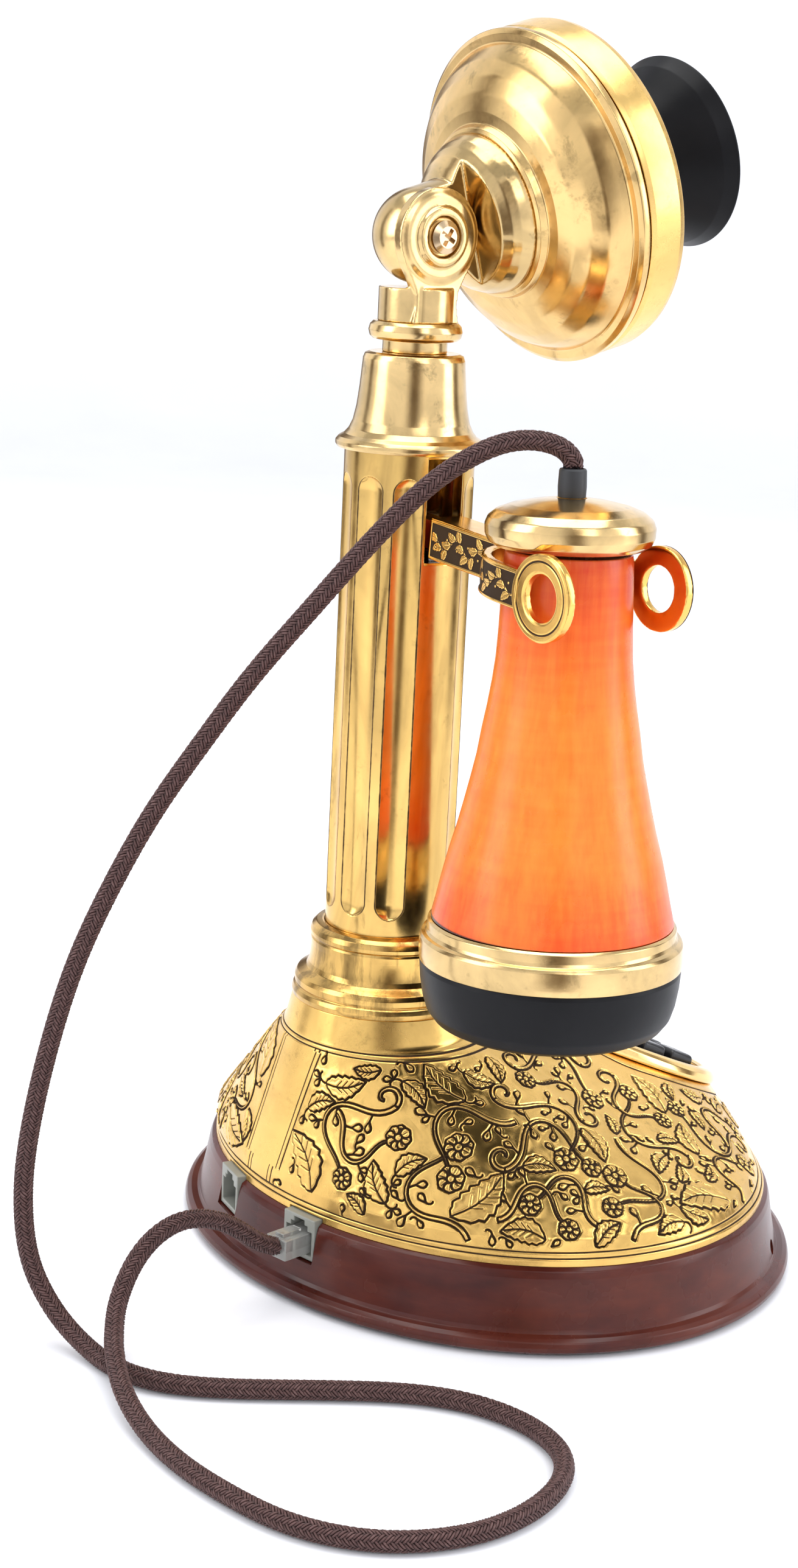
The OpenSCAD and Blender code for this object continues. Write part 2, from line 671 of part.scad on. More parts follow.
module ear_cap() color(black) at_receiver() {
    difference() {
        rotate_extrude($fn = 96) polygon([
            [0, -106.5], [24, -106.5], [26.4, -104], [26.4, -90], [28, -90], [28, -97.5], [33.4, -97.5],
            [33.6, -98.6], [33.3, -102.6], [32.6, -107], [31.5, -110.6], [29.4, -113.4],
            [26.4, -114.9], [22, -115.2], [16, -113.4], [9, -111.2], [0, -110.2]
        ]);
        for (a = [0:60:300]) rotate([0, 0, a]) translate([5, 0, -120]) cylinder(d = 2.6, h = 20, $fn = 24);
        translate([0, 0, -120]) cylinder(d = 2.6, h = 20, $fn = 24);
    }
}

module earphone() color([0.35, 0.36, 0.38]) at_receiver() {
    translate([0, 0, -105.8]) cylinder(r = 22, h = 7);
    translate([0, 0, -98.81]) cylinder(r = 15, h = 10);
}

// ---- cord ----

// Centreline of the cord, laid by hand from the receiver to the plug
cord_route = [
    [-67.2, 40, 232.8], [-67, 40.2, 234.6], [-65.2, 43, 237.6], [-61.2, 49.5, 239], [-56, 58, 236.6],
    [-49, 70, 227.5], [-41, 83, 211], [-34, 94, 195], [-26, 105, 178], [-19, 115, 160], [-13, 125, 142],
    [-8, 134, 122], [-4, 141.5, 102], [-1, 147, 80], [1, 151, 58], [1, 153, 40], [-1, 152, 22], [-8, 148, 9],
    [-20, 145, 3], [-34, 144, 2.8], [-46, 138, 2.8], [-57, 126, 2.8], [-70, 106, 2.8], [-82, 89, 2.8],
    [-95, 78, 2.8], [-110, 73, 2.8], [-124, 74, 2.8], [-134, 80, 2.8], [-141, 90, 2.8], [-145, 103, 2.8],
    [-145, 117, 2.8], [-140, 131, 2.8], [-131, 142, 2.8], [-118, 150, 2.8], [-102, 154, 2.8],
    [-84, 156, 2.8], [-66, 155, 3.2], [-50, 152, 5.5], [-37, 147, 8.4], [-28, 142, 10], [-21, 137, 14],
    [-17.4, 131, 21], [-16.8, 125, 27], [-17, 118, 30.4], [-17, 110.5, 30.4], [-17, 103, 27.7],
    [-17.2, 97, 23.9], [-17.4, 91.6, 19.6], [-17, 85.4, 16.6]
];

// Points of a smooth curve through the route, with n steps between neighbours
function spline(p, i, t) =
    let (
        a = p[max(i - 1, 0)], b = p[i], c = p[i + 1], d = p[min(i + 2, len(p) - 1)],
        t2 = t * t, t3 = t2 * t
    ) 0.5 * (2 * b + (c - a) * t + (2 * a - 5 * b + 4 * c - d) * t2 + (3 * b - a - 3 * c + d) * t3);

// More rings where the cord bends tightly
function steps(i) = (i > 0 && i < 4) || (i > 24 && i < 34) || i > 38 ? 2 : 1;

function unit(v) = v / norm(v);

cord_path = concat(
    [for (i = [0:len(cord_route) - 2], k = [0:steps(i) - 1]) spline(cord_route, i, k / steps(i))],
    [cord_route[len(cord_route) - 1]]
);

// Side vectors carried along the path, so that the rings do not twist
function carried(p, i, s) =
    i == len(p) - 1 ? [s]
    : concat([s], carried(p, i + 1, let (t = unit(p[min(i + 2, len(p) - 1)] - p[i])) unit(s - (s * t) * t)));

module cord() color([0.25, 0.15, 0.13]) {
    p = cord_path;
    last = len(p) - 1;
    sides = 10;
    tangents = [for (i = [0:last]) unit(p[min(i + 1, last)] - p[max(i - 1, 0)])];
    across = carried(p, 0, [1, 0, 0]);
    loft([
        for (i = [last:-1:0])
            let (t = tangents[i], s = unit(across[i] - (across[i] * t) * t), b = cross(t, s))
                [for (j = [0:sides - 1])
                    p[i] + cord_d / 2 * (cos(j * 360 / sides) * s + sin(j * 360 / sides) * b)]
    ]);
}

// Modular plug in the handset jack, with its latch
module plug() color([0.72, 0.72, 0.70]) at_jack(0) {
    translate([-3.8, -6.5, 1.9]) cube([7.6, 15, 5.8]);
    translate([-1.6, 0.4, 7.6]) cube([3.2, 7, 1.2]);
}

plinth();
bottom_plate();
base_felt();
plate_screws();
ballast();
base_shell();
shell_screws();
collar();
column();
column_cap();
neck_ring();
knuckle_fork();
knuckle_screw();
knuckle_nut();
transmitter_lug();
transmitter_bell();
face_ring();
mouthpiece();
microphone();
keypad_bezel();
keypad_plate();
key_mat();
keypad_board();
key(0, -1);  // key_1
key(0, 0);  // key_2
key(0, 1);  // key_3
key(1, -1);  // key_4
key(1, 0);  // key_5
key(1, 1);  // key_6
key(2, -1);  // key_7
key(2, 0);  // key_8
key(2, 1);  // key_9
key(3, -1);  // key_star
key(3, 0);  // key_0
key(3, 1);  // key_hash
main_board();
ringer();
line_jack();
handset_jack();
jack_contacts();
hook_lever();
hook_pin();
hook_spring();
hook_switch();
switch_plunger();
column_wires();
receiver_cap();
receiver_handle();
receiver_ring();
ear_cap();
earphone();
strain_relief();
cord();
plug();
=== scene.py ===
import math

import bmesh
import bpy
import numpy as np
from mathutils import Matrix, Vector, kdtree
from mathutils.bvhtree import BVHTree


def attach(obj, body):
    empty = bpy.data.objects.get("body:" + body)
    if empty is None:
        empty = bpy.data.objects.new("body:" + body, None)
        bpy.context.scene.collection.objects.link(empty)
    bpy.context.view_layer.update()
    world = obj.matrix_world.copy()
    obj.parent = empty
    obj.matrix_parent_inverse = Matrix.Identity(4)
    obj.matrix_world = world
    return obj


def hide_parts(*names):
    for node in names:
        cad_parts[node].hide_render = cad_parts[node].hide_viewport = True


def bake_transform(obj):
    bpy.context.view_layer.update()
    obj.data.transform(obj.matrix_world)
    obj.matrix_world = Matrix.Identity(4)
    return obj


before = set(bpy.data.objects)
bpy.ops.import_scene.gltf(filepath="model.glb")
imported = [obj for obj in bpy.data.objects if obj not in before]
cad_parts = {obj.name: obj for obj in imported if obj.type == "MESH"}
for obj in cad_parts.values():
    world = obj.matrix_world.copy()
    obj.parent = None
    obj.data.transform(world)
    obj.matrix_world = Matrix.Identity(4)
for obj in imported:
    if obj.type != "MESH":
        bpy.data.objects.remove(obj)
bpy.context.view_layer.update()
MM = 0.001
COL = Vector((0, 0.040, 0))
BASE_A, BASE_B = 95.4, 84.5
COL_R = 17.45

# ---- camera

cam_data = bpy.data.cameras.new("camera")
cam_data.lens = 59.42
cam_data.sensor_width = 36
cam_data.clip_start = 0.01
cam_data.clip_end = 60
cam = bpy.data.objects.new("camera", cam_data)
bpy.context.scene.collection.objects.link(cam)
az, el, roll = math.radians(233), math.radians(13.87), math.radians(2.75)
back = Vector((math.sin(az) * math.cos(el), -math.cos(az) * math.cos(el), math.sin(el)))
right0 = Vector((math.cos(az), math.sin(az), 0))
up0 = back.cross(right0)
right = math.cos(roll) * right0 + math.sin(roll) * up0
up = -math.sin(roll) * right0 + math.cos(roll) * up0
target = COL + Vector((0, 0, 0.137)) + 0.00136 * right
place = target + 0.712 * back
cam.matrix_world = Matrix((
    (right.x, up.x, back.x, place.x),
    (right.y, up.y, back.y, place.y),
    (right.z, up.z, back.z, place.z),
    (0, 0, 0, 1),
))
bpy.context.scene.camera = cam

# ---- mesh helpers


def full_turn(n):
    return np.linspace(0, 2 * math.pi, n, endpoint=False)


def placed(pts, m):
    """Points in mm, moved by a matrix in metres."""
    m = np.array(m)
    return pts * MM @ m[:3, :3].T + m[:3, 3]


def dress(me, mat):
    me.materials.clear()
    me.materials.append(mat)


def add(name, me, mat=None, body=None, replaces=()):
    """Puts a mesh in the scene, gives it its finish, sets what it rides on and hides the CAD parts it stands
    for.
    """
    ob = bpy.data.objects.new(name, me)
    bpy.context.scene.collection.objects.link(ob)
    if mat is not None:
        dress(me, mat)
    if body:
        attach(ob, body)
    if replaces:
        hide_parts(*replaces)
    return ob


def attribute(me, name, values):
    me.attributes.new(name, "FLOAT", "POINT").data.foreach_set("value", values.astype(np.float32))


def all_smooth(me):
    me.polygons.foreach_set("use_smooth", [True] * len(me.polygons))


def new_object(name, verts, faces, mat=None, body=None, replaces=()):
    me = bpy.data.meshes.new(name)
    me.from_pydata([tuple(v) for v in verts], [], [tuple(f) for f in faces])
    me.validate()
    me.update()
    all_smooth(me)
    return add(name, me, mat, body, replaces)


def grid_object(name, pts, mat, body, replaces=(), wrap=True, keep=None, extra=None):
    """Mesh from points[rows, cols, 3]; keep[rows-1, cols] says which faces stay."""
    rows, cols = pts.shape[:2]
    n = cols if wrap else cols - 1
    i, j = np.meshgrid(np.arange(rows - 1), np.arange(n), indexing="ij")
    a, b = i * cols + j, i * cols + (j + 1) % cols
    quads = np.stack([a, b, b + cols, a + cols], -1).reshape(-1, 4)
    if keep is not None:
        quads = quads[keep[:, :n].reshape(-1)]
    used = np.zeros(rows * cols, bool)
    used[quads.ravel()] = True
    quads = (np.cumsum(used) - 1)[quads]
    points = pts.reshape(-1, 3)[used]
    me = bpy.data.meshes.new(name)
    me.vertices.add(len(points))
    me.vertices.foreach_set("co", points.astype(np.float32).ravel())
    me.loops.add(len(quads) * 4)
    me.loops.foreach_set("vertex_index", quads.astype(np.int32).ravel())
    me.polygons.add(len(quads))
    me.polygons.foreach_set("loop_start", np.arange(0, len(quads) * 4, 4, dtype=np.int32))
    all_smooth(me)
    me.update(calc_edges=True)
    me.validate()
    for key, values in (extra or {}).items():
        attribute(me, key, values.reshape(-1)[used])
    return add(name, me, mat, body, replaces)


def weld(me, outwards=True):
    """Joins doubled points and turns the faces outwards."""
    bm = bmesh.new()
    bm.from_mesh(me)
    bmesh.ops.remove_doubles(bm, verts=bm.verts, dist=1e-6)
    if outwards:
        bmesh.ops.recalc_face_normals(bm, faces=bm.faces)
    bm.to_mesh(me)
    bm.free()


def evaluated(ob):
    bpy.context.view_layer.update()
    return bpy.data.meshes.new_from_object(ob.evaluated_get(bpy.context.evaluated_depsgraph_get()))


def bake(ob):
    """Makes the piece's modifiers part of its mesh."""
    me = evaluated(ob)
    ob.modifiers.clear()
    ob.data = me
    all_smooth(me)


def rounded(profile, radius=0.35, steps=4, closed=False):
    """A profile in mm with its corners turned into small arcs; a third number is a corner's radius."""
    p = [np.array(q[:2], float) for q in profile]
    radii = [q[2] if len(q) > 2 else radius for q in profile]
    out = []
    n = len(p)
    for k in range(n):
        if not closed and k in (0, n - 1):
            out.append(p[k])
            continue
        a, b, c = p[k - 1], p[k], p[(k + 1) % n]
        u, w = a - b, c - b
        lu, lw = np.linalg.norm(u), np.linalg.norm(w)
        if lu < 1e-6 or lw < 1e-6:
            continue
        u, w = u / lu, w / lw
        angle = math.acos(max(-1, min(1, float(u @ w))))
        if angle > math.radians(172):
            out.append(b)
            continue
        d = min(radii[k] / max(math.tan(angle / 2), 0.05), 0.45 * lu, 0.45 * lw)
        s, e = b + u * d, b + w * d
        out += [(1 - t) ** 2 * s + 2 * t * (1 - t) * b + t * t * e for t in np.linspace(0, 1, steps + 1)]
    return np.array(out)


def lathe(name, profile, mat, body, node, base=None, segs=192):
    """Turned piece: closed profile (r, z) in mm about +Z of the base matrix, or of the column."""
    p = rounded(profile, closed=True)
    p = np.vstack([p, p[:1]])
    t = full_turn(segs)
    pts = np.stack([p[:, :1] * np.cos(t), p[:, :1] * np.sin(t), p[:, 1:] + 0 * t], 2)
    ob = grid_object(name, placed(pts, base or Matrix.Translation(COL)), mat, body, (node,))
    weld(ob.data)
    return ob


def recessed(ob, verts, faces):
    """Cuts a closed shape out of a piece."""
    cutter = new_object("cutter", verts, faces)
    mod = ob.modifiers.new("cut", "BOOLEAN")
    mod.operation = "DIFFERENCE"
    mod.solver = "EXACT"
    mod.object = cutter
    bake(ob)
    bpy.data.objects.remove(cutter)


def box_data(x0, x1, y0, y1, z0, z1, m):
    v = [m @ (Vector((x, y, z)) * MM) for x in (x0, x1) for y in (y0, y1) for z in (z0, z1)]
    return v, [(0, 1, 3, 2), (4, 6, 7, 5), (0, 4, 5, 1), (2, 3, 7, 6), (0, 2, 6, 4), (1, 5, 7, 3)]


def cast_copy(name, node, mat, body, voxel=0.3):
    """A softened copy of a CAD node, with the small fillets of a casting."""
    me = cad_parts[node].data.copy()
    me.materials.clear()
    weld(me, False)
    ob = add(name, me)
    remesh = ob.modifiers.new("remesh", "REMESH")
    remesh.mode = "VOXEL"
    remesh.voxel_size = voxel * MM
    smooth = ob.modifiers.new("smooth", "SMOOTH")
    smooth.factor = 0.5
    smooth.iterations = 4
    bake(ob)
    dress(ob.data, mat)
    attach(ob, body)
    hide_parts(node)


# ---- materials


class Surface:
    """A material being built; its methods add nodes and give back their outputs."""

    def __init__(self, name):
        self.mat = bpy.data.materials.new(name)
        self.mat.use_nodes = True
        self.tree = self.mat.node_tree
        self.tree.nodes.clear()
        self.shader = self.node("BsdfPrincipled")
        self.node("OutputMaterial", {"Surface": self.shader.outputs[0]})
        self.co = self.node("TexCoord").outputs["Object"]

    def put(self, socket, value):
        if isinstance(value, bpy.types.NodeSocket):
            self.tree.links.new(value, socket)
        else:
            socket.default_value = value

    def node(self, kind, inputs=None, **settings):
        n = self.tree.nodes.new("ShaderNode" + kind)
        for key, value in settings.items():
            setattr(n, key, value)
        for key, value in (inputs or {}).items():
            self.put(n.inputs[key], value)
        return n

    def set(self, **sockets):
        """Sets or links the shader's sockets; Base_Color stands for "Base Color"."""
        for key, value in sockets.items():
            self.put(self.shader.inputs[key.replace("_", " ")], value)

    def noise(self, scale, detail=4, rough=0.55, distort=0.0, stretch=None):
        at = self.node("Mapping", {"Vector": self.co, "Scale": stretch}).outputs[0] if stretch else self.co
        return self.node("TexNoise", {"Vector": at, "Scale": scale, "Detail": detail, "Roughness": rough,
                                      "Distortion": distort}).outputs["Fac"]

    def ramp(self, fac, *stops):
        n = self.node("ValToRGB", {0: fac})
        el = n.color_ramp.elements
        while len(el) < len(stops):
            el.new(0.5)
        for e, (at, c) in zip(el, stops):
            e.position = at
            e.color = (*c, 1) if isinstance(c, tuple) else (c, c, c, 1)
        return n.outputs[0]

    def mix(self, fac, a, b):
        a, b = [v if isinstance(v, bpy.types.NodeSocket) else (*v, 1) for v in (a, b)]
        return self.node("Mix", {0: fac, 6: a, 7: b}, data_type="RGBA").outputs[2]

    def math(self, op, a, b):
        return self.node("Math", {0: a, 1: b}, operation=op).outputs[0]

    def attribute(self, name):
        return self.node("Attribute", attribute_name=name).outputs["Fac"]

    def height(self):
        return self.node("SeparateXYZ", {0: self.co}).outputs["Z"]

    def span(self, value, low, high, top=1.0):
        return self.node("MapRange", {"Value": value, "From Min": low, "From Max": high,
                                      "To Max": top}).outputs[0]

    def bump(self, height, strength, distance):
        n = self.node("Bump", {"Strength": strength, "Distance": distance, "Height": height})
        self.set(Normal=n.outputs[0])


def brass(name, light, dark, rough, tarnish, pits, streak=None, patina=False, stains=0.60):
    """Brass with cloudy tarnish and small pits; patina darkens it where "line" is high."""
    m = Surface(name)
    small = m.noise(260, 4, 0.7)
    clouds = m.ramp(m.noise(45, 5, 0.62, 0.6, streak), (0.36, dark), (0.62, light))
    col = m.mix(tarnish, light, clouds)
    col = m.mix(m.ramp(small, (0.60, 0.0), (0.78, 0.45)), col, [c * 0.62 for c in dark])
    spread = m.ramp(m.noise(95, 6, 0.7, 0.3, streak), (stains, 0.0), (stains + 0.10, 0.85 * tarnish))
    col = m.mix(spread, col, [c * 0.45 for c in dark])
    r = m.ramp(m.noise(120, 5, 0.65), (0.3, rough[0]), (0.75, rough[1]))
    m.set(Metallic=1)
    if patina:
        worn = m.math("MULTIPLY", m.math("SUBTRACT", small, 0.5), 0.35)
        line = m.ramp(m.math("ADD", m.attribute("line"), worn), (0.30, 0.0), (0.52, 1.0))
        col = m.mix(line, col, (0.040, 0.022, 0.010))
        r = m.mix(line, r, (0.62, 0.62, 0.62))
        m.set(Metallic=m.math("SUBTRACT", 1.0, m.math("MULTIPLY", line, 0.75)), Specular_IOR_Level=0.15)
    m.set(Base_Color=col, Roughness=r)
    cells = m.node("TexVoronoi", {"Vector": m.co, "Scale": 620}).outputs["Distance"]
    spots = m.math("MULTIPLY", m.ramp(cells, (0.10, 1.0), (0.2, 0.0)),
                   m.ramp(m.noise(55, 3), (0.52, 0.0), (0.64, 1.0)))
    m.bump(m.math("SUBTRACT", m.noise(900, 3, 0.6), m.math("MULTIPLY", spots, pits)), 0.10, 0.00006)
    return m.mat


ALONG = (1, 1, 0.25)
column_brass = brass("column_brass", (0.85, 0.53, 0.155), (0.27, 0.17, 0.065), (0.14, 0.28), 0.72, 0.2,
                     ALONG, False, 0.48)
flute_brass = brass("column_brass_dark", (0.88, 0.57, 0.18), (0.34, 0.21, 0.07), (0.13, 0.26), 0.7, 0.2,
                    ALONG, True)
cast_brass = brass("cast_brass", (0.80, 0.56, 0.25), (0.36, 0.26, 0.12), (0.13, 0.25), 0.6, 0.3)
bell_brass = brass("bell_brass", (0.85, 0.57, 0.235), (0.44, 0.30, 0.12), (0.15, 0.27), 0.55, 0.9,
                   None, False, 0.57)
face_brass = brass("face_brass", (0.90, 0.59, 0.20), (0.55, 0.35, 0.11), (0.20, 0.34), 0.45, 0.3)
shell_brass = brass("shell_brass", (0.87, 0.55, 0.165), (0.50, 0.31, 0.09), (0.19, 0.33), 0.5, 0.2,
                    None, True)
hook_brass = brass("hook_brass", (0.95, 0.58, 0.16), (0.55, 0.31, 0.08), (0.14, 0.28), 0.4, 0.2,
                   None, True)
bezel_brass = brass("bezel_brass", (0.93, 0.63, 0.24), (0.55, 0.37, 0.14), (0.12, 0.24), 0.4, 0.2)


def plastic(name, colour, rough, grain, spec=0.5):
    m = Surface(name)
    big = m.noise(60, 4)
    m.set(Base_Color=m.mix(m.ramp(big, (0.3, 0.0), (0.7, 1.0)), [c * 0.85 for c in colour],
                           [c * 1.15 for c in colour]),
          Roughness=m.ramp(big, (0.3, rough * 0.9), (0.75, rough * 1.15)), Specular_IOR_Level=spec)
    m.bump(m.noise(900, 3), grain, 0.00005)
    return m.mat


black_plastic = plastic("black_plastic", (0.004, 0.004, 0.005), 0.36, 0.2, 0.13)
key_black = plastic("key_black", (0.008, 0.008, 0.009), 0.28, 0.12)
jack_plastic = plastic("jack_plastic", (0.24, 0.245, 0.215), 0.3, 0.1)
ear_cap_black = plastic("ear_cap_black", (0.006, 0.006, 0.007), 0.40, 0.2, 0.18)
relief_rubber = plastic("relief_rubber", (0.020, 0.021, 0.024), 0.48, 0.2)
board_green = plastic("board_green", (0.02, 0.16, 0.06), 0.3, 0.2)
mat_grey = plastic("mat_grey", (0.16, 0.17, 0.18), 0.6, 0.3)
dark_plastic = plastic("dark_plastic", (0.02, 0.02, 0.022), 0.4, 0.2)
red_plastic = plastic("red_plastic", (0.45, 0.03, 0.02), 0.35, 0.1)
label_white = plastic("label_white", (0.72, 0.72, 0.70), 0.5, 0.1)
black_steel = plastic("black_steel", (0.03, 0.03, 0.032), 0.4, 0.3)


def metal(name, colour, rough):
    m = Surface(name)
    n = m.noise(400, 4)
    m.set(Metallic=1, Base_Color=m.mix(n, [c * 0.8 for c in colour], colour),
          Roughness=m.ramp(n, (0.3, rough * 0.8), (0.75, rough * 1.3)))
    m.bump(n, 0.12, 0.00004)
    return m.mat


steel = metal("steel", (0.62, 0.62, 0.64), 0.28)
screw_metal = metal("screw_metal", (0.74, 0.55, 0.34), 0.2)
iron = metal("iron", (0.24, 0.24, 0.26), 0.6)
aluminium = metal("aluminium", (0.5, 0.51, 0.53), 0.4)
gold = metal("gold", (0.85, 0.62, 0.22), 0.2)


def felt_material():
    m = Surface("felt_green")
    f = m.noise(1800, 6, 0.8)
    m.set(Base_Color=m.ramp(f, (0.3, (0.02, 0.05, 0.03)), (0.7, (0.05, 0.11, 0.07))), Roughness=0.95,
          Sheen_Weight=0.4)
    m.bump(f, 0.7, 0.0003)
    return m.mat


def plinth_material():
    m = Surface("plinth_lacquer")
    cloud = m.noise(26, 5, 0.6)
    grain = m.ramp(m.noise(70, 5, 0.6, 0.1, (0.35, 1, 3)), (0.30, (0.030, 0.005, 0.004)),
                   (0.52, (0.062, 0.010, 0.007)), (0.75, (0.105, 0.020, 0.010)))
    flecks = m.ramp(cloud, (0.35, (0.034, 0.005, 0.004)), (0.68, (0.130, 0.028, 0.012)))
    m.set(Base_Color=m.mix(0.45, grain, flecks), Roughness=m.ramp(cloud, (0.3, 0.20), (0.7, 0.32)),
          Coat_Weight=0.14, Coat_Roughness=0.14, Specular_IOR_Level=0.22)
    m.bump(m.noise(260, 4), 0.10, 0.00008)
    return m.mat


def handle_material():
    """Orange lacquer, redder at both ends, over fine turned grain, with a thin painted shade line where the
    cap and the ring meet it.
    """
    m = Surface("handle_lacquer")
    z = m.height()
    wob = m.math("SUBTRACT", m.noise(35, 4, stretch=(1, 1, 0.5)), 0.5)
    col = m.ramp(m.math("ADD", m.span(z, 0.112, 0.213), m.math("MULTIPLY", wob, 0.16)),
                 (0.0, (0.62, 0.022, 0.004)), (0.09, (0.72, 0.070, 0.008)), (0.26, (0.80, 0.185, 0.012)),
                 (0.60, (0.81, 0.205, 0.014)), (0.84, (0.74, 0.095, 0.006)), (0.97, (0.52, 0.020, 0.003)))
    fibre = m.noise(520, 5, 0.6, stretch=(1, 1, 0.06))
    cross = m.noise(420, 3, 0.5, stretch=(0.12, 0.12, 1))
    col = m.mix(0.22, col, m.ramp(fibre, (0.35, (0.52, 0.055, 0.008)), (0.65, (0.88, 0.27, 0.045))))
    col = m.mix(0.10, col, m.ramp(cross, (0.35, (0.58, 0.07, 0.010)), (0.65, (0.90, 0.30, 0.05))))
    patch = m.ramp(m.noise(24, 3, 0.5), (0.60, 0.0), (0.68, 1.0))
    col = m.mix(m.math("MULTIPLY", patch, 0.35), col, (0.74, 0.27, 0.030))
    # Painted shade: a thin dark line at the top and bottom edges, where the handle meets the cap and the
    # ring.
    ends = m.math("MAXIMUM", m.span(z, 0.2119, 0.2122), m.span(z, 0.1182, 0.1178))
    m.set(Base_Color=m.mix(ends, col, (0.035, 0.006, 0.003)), Subsurface_Weight=0.05,
          Subsurface_Radius=(0.006, 0.002, 0.001), Roughness=m.ramp(m.noise(80, 5), (0.3, 0.24), (0.7, 0.36)),
          Coat_Weight=0.16, Coat_Roughness=0.2, Specular_IOR_Level=0.27)
    m.bump(m.math("ADD", fibre, m.noise(600, 6, 0.7, stretch=(0.4, 3, 1))), 0.05, 0.00006)
    return m.mat


def braid_material():
    m = Surface("braid_brown")
    n = m.noise(2600, 4, 0.7)
    flecks = m.math("ADD", m.math("MULTIPLY", n, 0.18), m.math("MULTIPLY", m.noise(500, 3), 0.14))
    # The attribute holds painted shade of the yarns' dips, inner faces and the core, plus a random tone per
    # yarn.
    shade_and_tone = m.math("ADD", m.math("MULTIPLY", m.attribute("shade_and_tone"), 0.75), flecks)
    m.set(Base_Color=m.ramp(shade_and_tone, (0.22, (0.006, 0.003, 0.003)), (0.52, (0.030, 0.013, 0.012)),
                            (0.80, (0.085, 0.040, 0.036)), (0.97, (0.150, 0.085, 0.078))),
          Roughness=0.55, Specular_IOR_Level=0.35)
    m.bump(n, 0.5, 0.0001)
    return m.mat


def clear_plastic():
    m = Surface("smoky_clear")
    n = m.noise(200, 3)
    m.set(Base_Color=m.ramp(n, (0.3, (0.62, 0.62, 0.58)), (0.7, (0.80, 0.80, 0.76))),
          Transmission_Weight=0.75, Roughness=0.12, IOR=1.5)
    m.bump(n, 0.05, 0.0001)
    return m.mat


# ---- cord

ROUTE = [
    (-67.2, 40, 232.8), (-67, 40.2, 234.6), (-65.2, 43, 237.6), (-61.2, 49.5, 239), (-56, 58, 236.6),
    (-49, 70, 227.5), (-41, 83, 211), (-34, 94, 195), (-26, 105, 178), (-19, 115, 160), (-13, 125, 142),
    (-8, 134, 122), (-4, 141.5, 102), (-1, 147, 80), (1, 151, 58), (1, 153, 40), (-1, 152, 22),
    (-8, 148, 9), (-20, 145, 3), (-34, 144, 2.8), (-46, 138, 2.8), (-57, 126, 2.8), (-70, 106, 2.8),
    (-82, 89, 2.8), (-95, 78, 2.8), (-110, 73, 2.8), (-124, 74, 2.8), (-134, 80, 2.8), (-141, 90, 2.8),
    (-145, 103, 2.8), (-145, 117, 2.8), (-140, 131, 2.8), (-131, 142, 2.8), (-118, 150, 2.8),
    (-102, 154, 2.8), (-84, 156, 2.8), (-66, 155, 3.2), (-50, 152, 5.5), (-37, 147, 8.4), (-28, 142, 10),
    (-21, 137, 14), (-17.4, 131, 21), (-16.8, 125, 27), (-17, 118, 30.4), (-17, 110.5, 30.4),
    (-17, 103, 27.7), (-17.2, 97, 23.9), (-17.4, 91.6, 19.6), (-17, 85.4, 16.6),
]


def catmull(points, per=14):
    p = np.array(points, float)
    p = np.vstack([2 * p[0] - p[1], p, 2 * p[-1] - p[-2]])
    out = []
    for i in range(1, len(p) - 2):
        a, b, c, d = p[i - 1:i + 3]
        for t in np.arange(per) / per:
            out.append(0.5 * (2 * b + (c - a) * t + (2 * a - 5 * b + 4 * c - d) * t * t
                              + (3 * b - a - 3 * c + d) * t ** 3))
    out.append(p[-2])
    return np.array(out)


def resample(p, step):
    d = np.r_[0, np.cumsum(np.linalg.norm(np.diff(p, axis=0), axis=1))]
    n = max(2, int(round(d[-1] / step)))
    s = np.linspace(0, d[-1], n + 1)
    return np.stack([np.interp(s, d, p[:, k]) for k in range(3)], 1), s


def frames(p):
    t = np.gradient(p, axis=0)
    t /= np.linalg.norm(t, axis=1)[:, None]
    n = np.zeros_like(p)
    v = np.array([1.0, 0, 0]) - t[0] * t[0][0]
    n[0] = v / np.linalg.norm(v)
    for i in range(1, len(p)):
        v = n[i - 1] - t[i] * (n[i - 1] @ t[i])
        n[i] = v / np.linalg.norm(v)
    return t, n, np.cross(t, n)


CORD_R = 2.6
centre = catmull(ROUTE)
for _ in range(30):
    centre[1:-1] += 0.25 * (centre[:-2] + centre[2:] - 2 * centre[1:-1])
line, dist = resample(centre, 0.62)
tan, nor, bin_ = frames(line)


def tube_mesh(rings):
    """rings[n, sides, 3] to vertices and faces with capped ends."""
    n, s = rings.shape[:2]
    i, j = np.meshgrid(np.arange(n - 1), np.arange(s), indexing="ij")
    a, b = i * s + j, i * s + (j + 1) % s
    q = np.stack([a, b, b + s, a + s], -1).reshape(-1, 4)
    faces = [tuple(f) for f in q] + [tuple(range(s - 1, -1, -1)), tuple(range((n - 1) * s, n * s))]
    return rings.reshape(-1, 3), faces


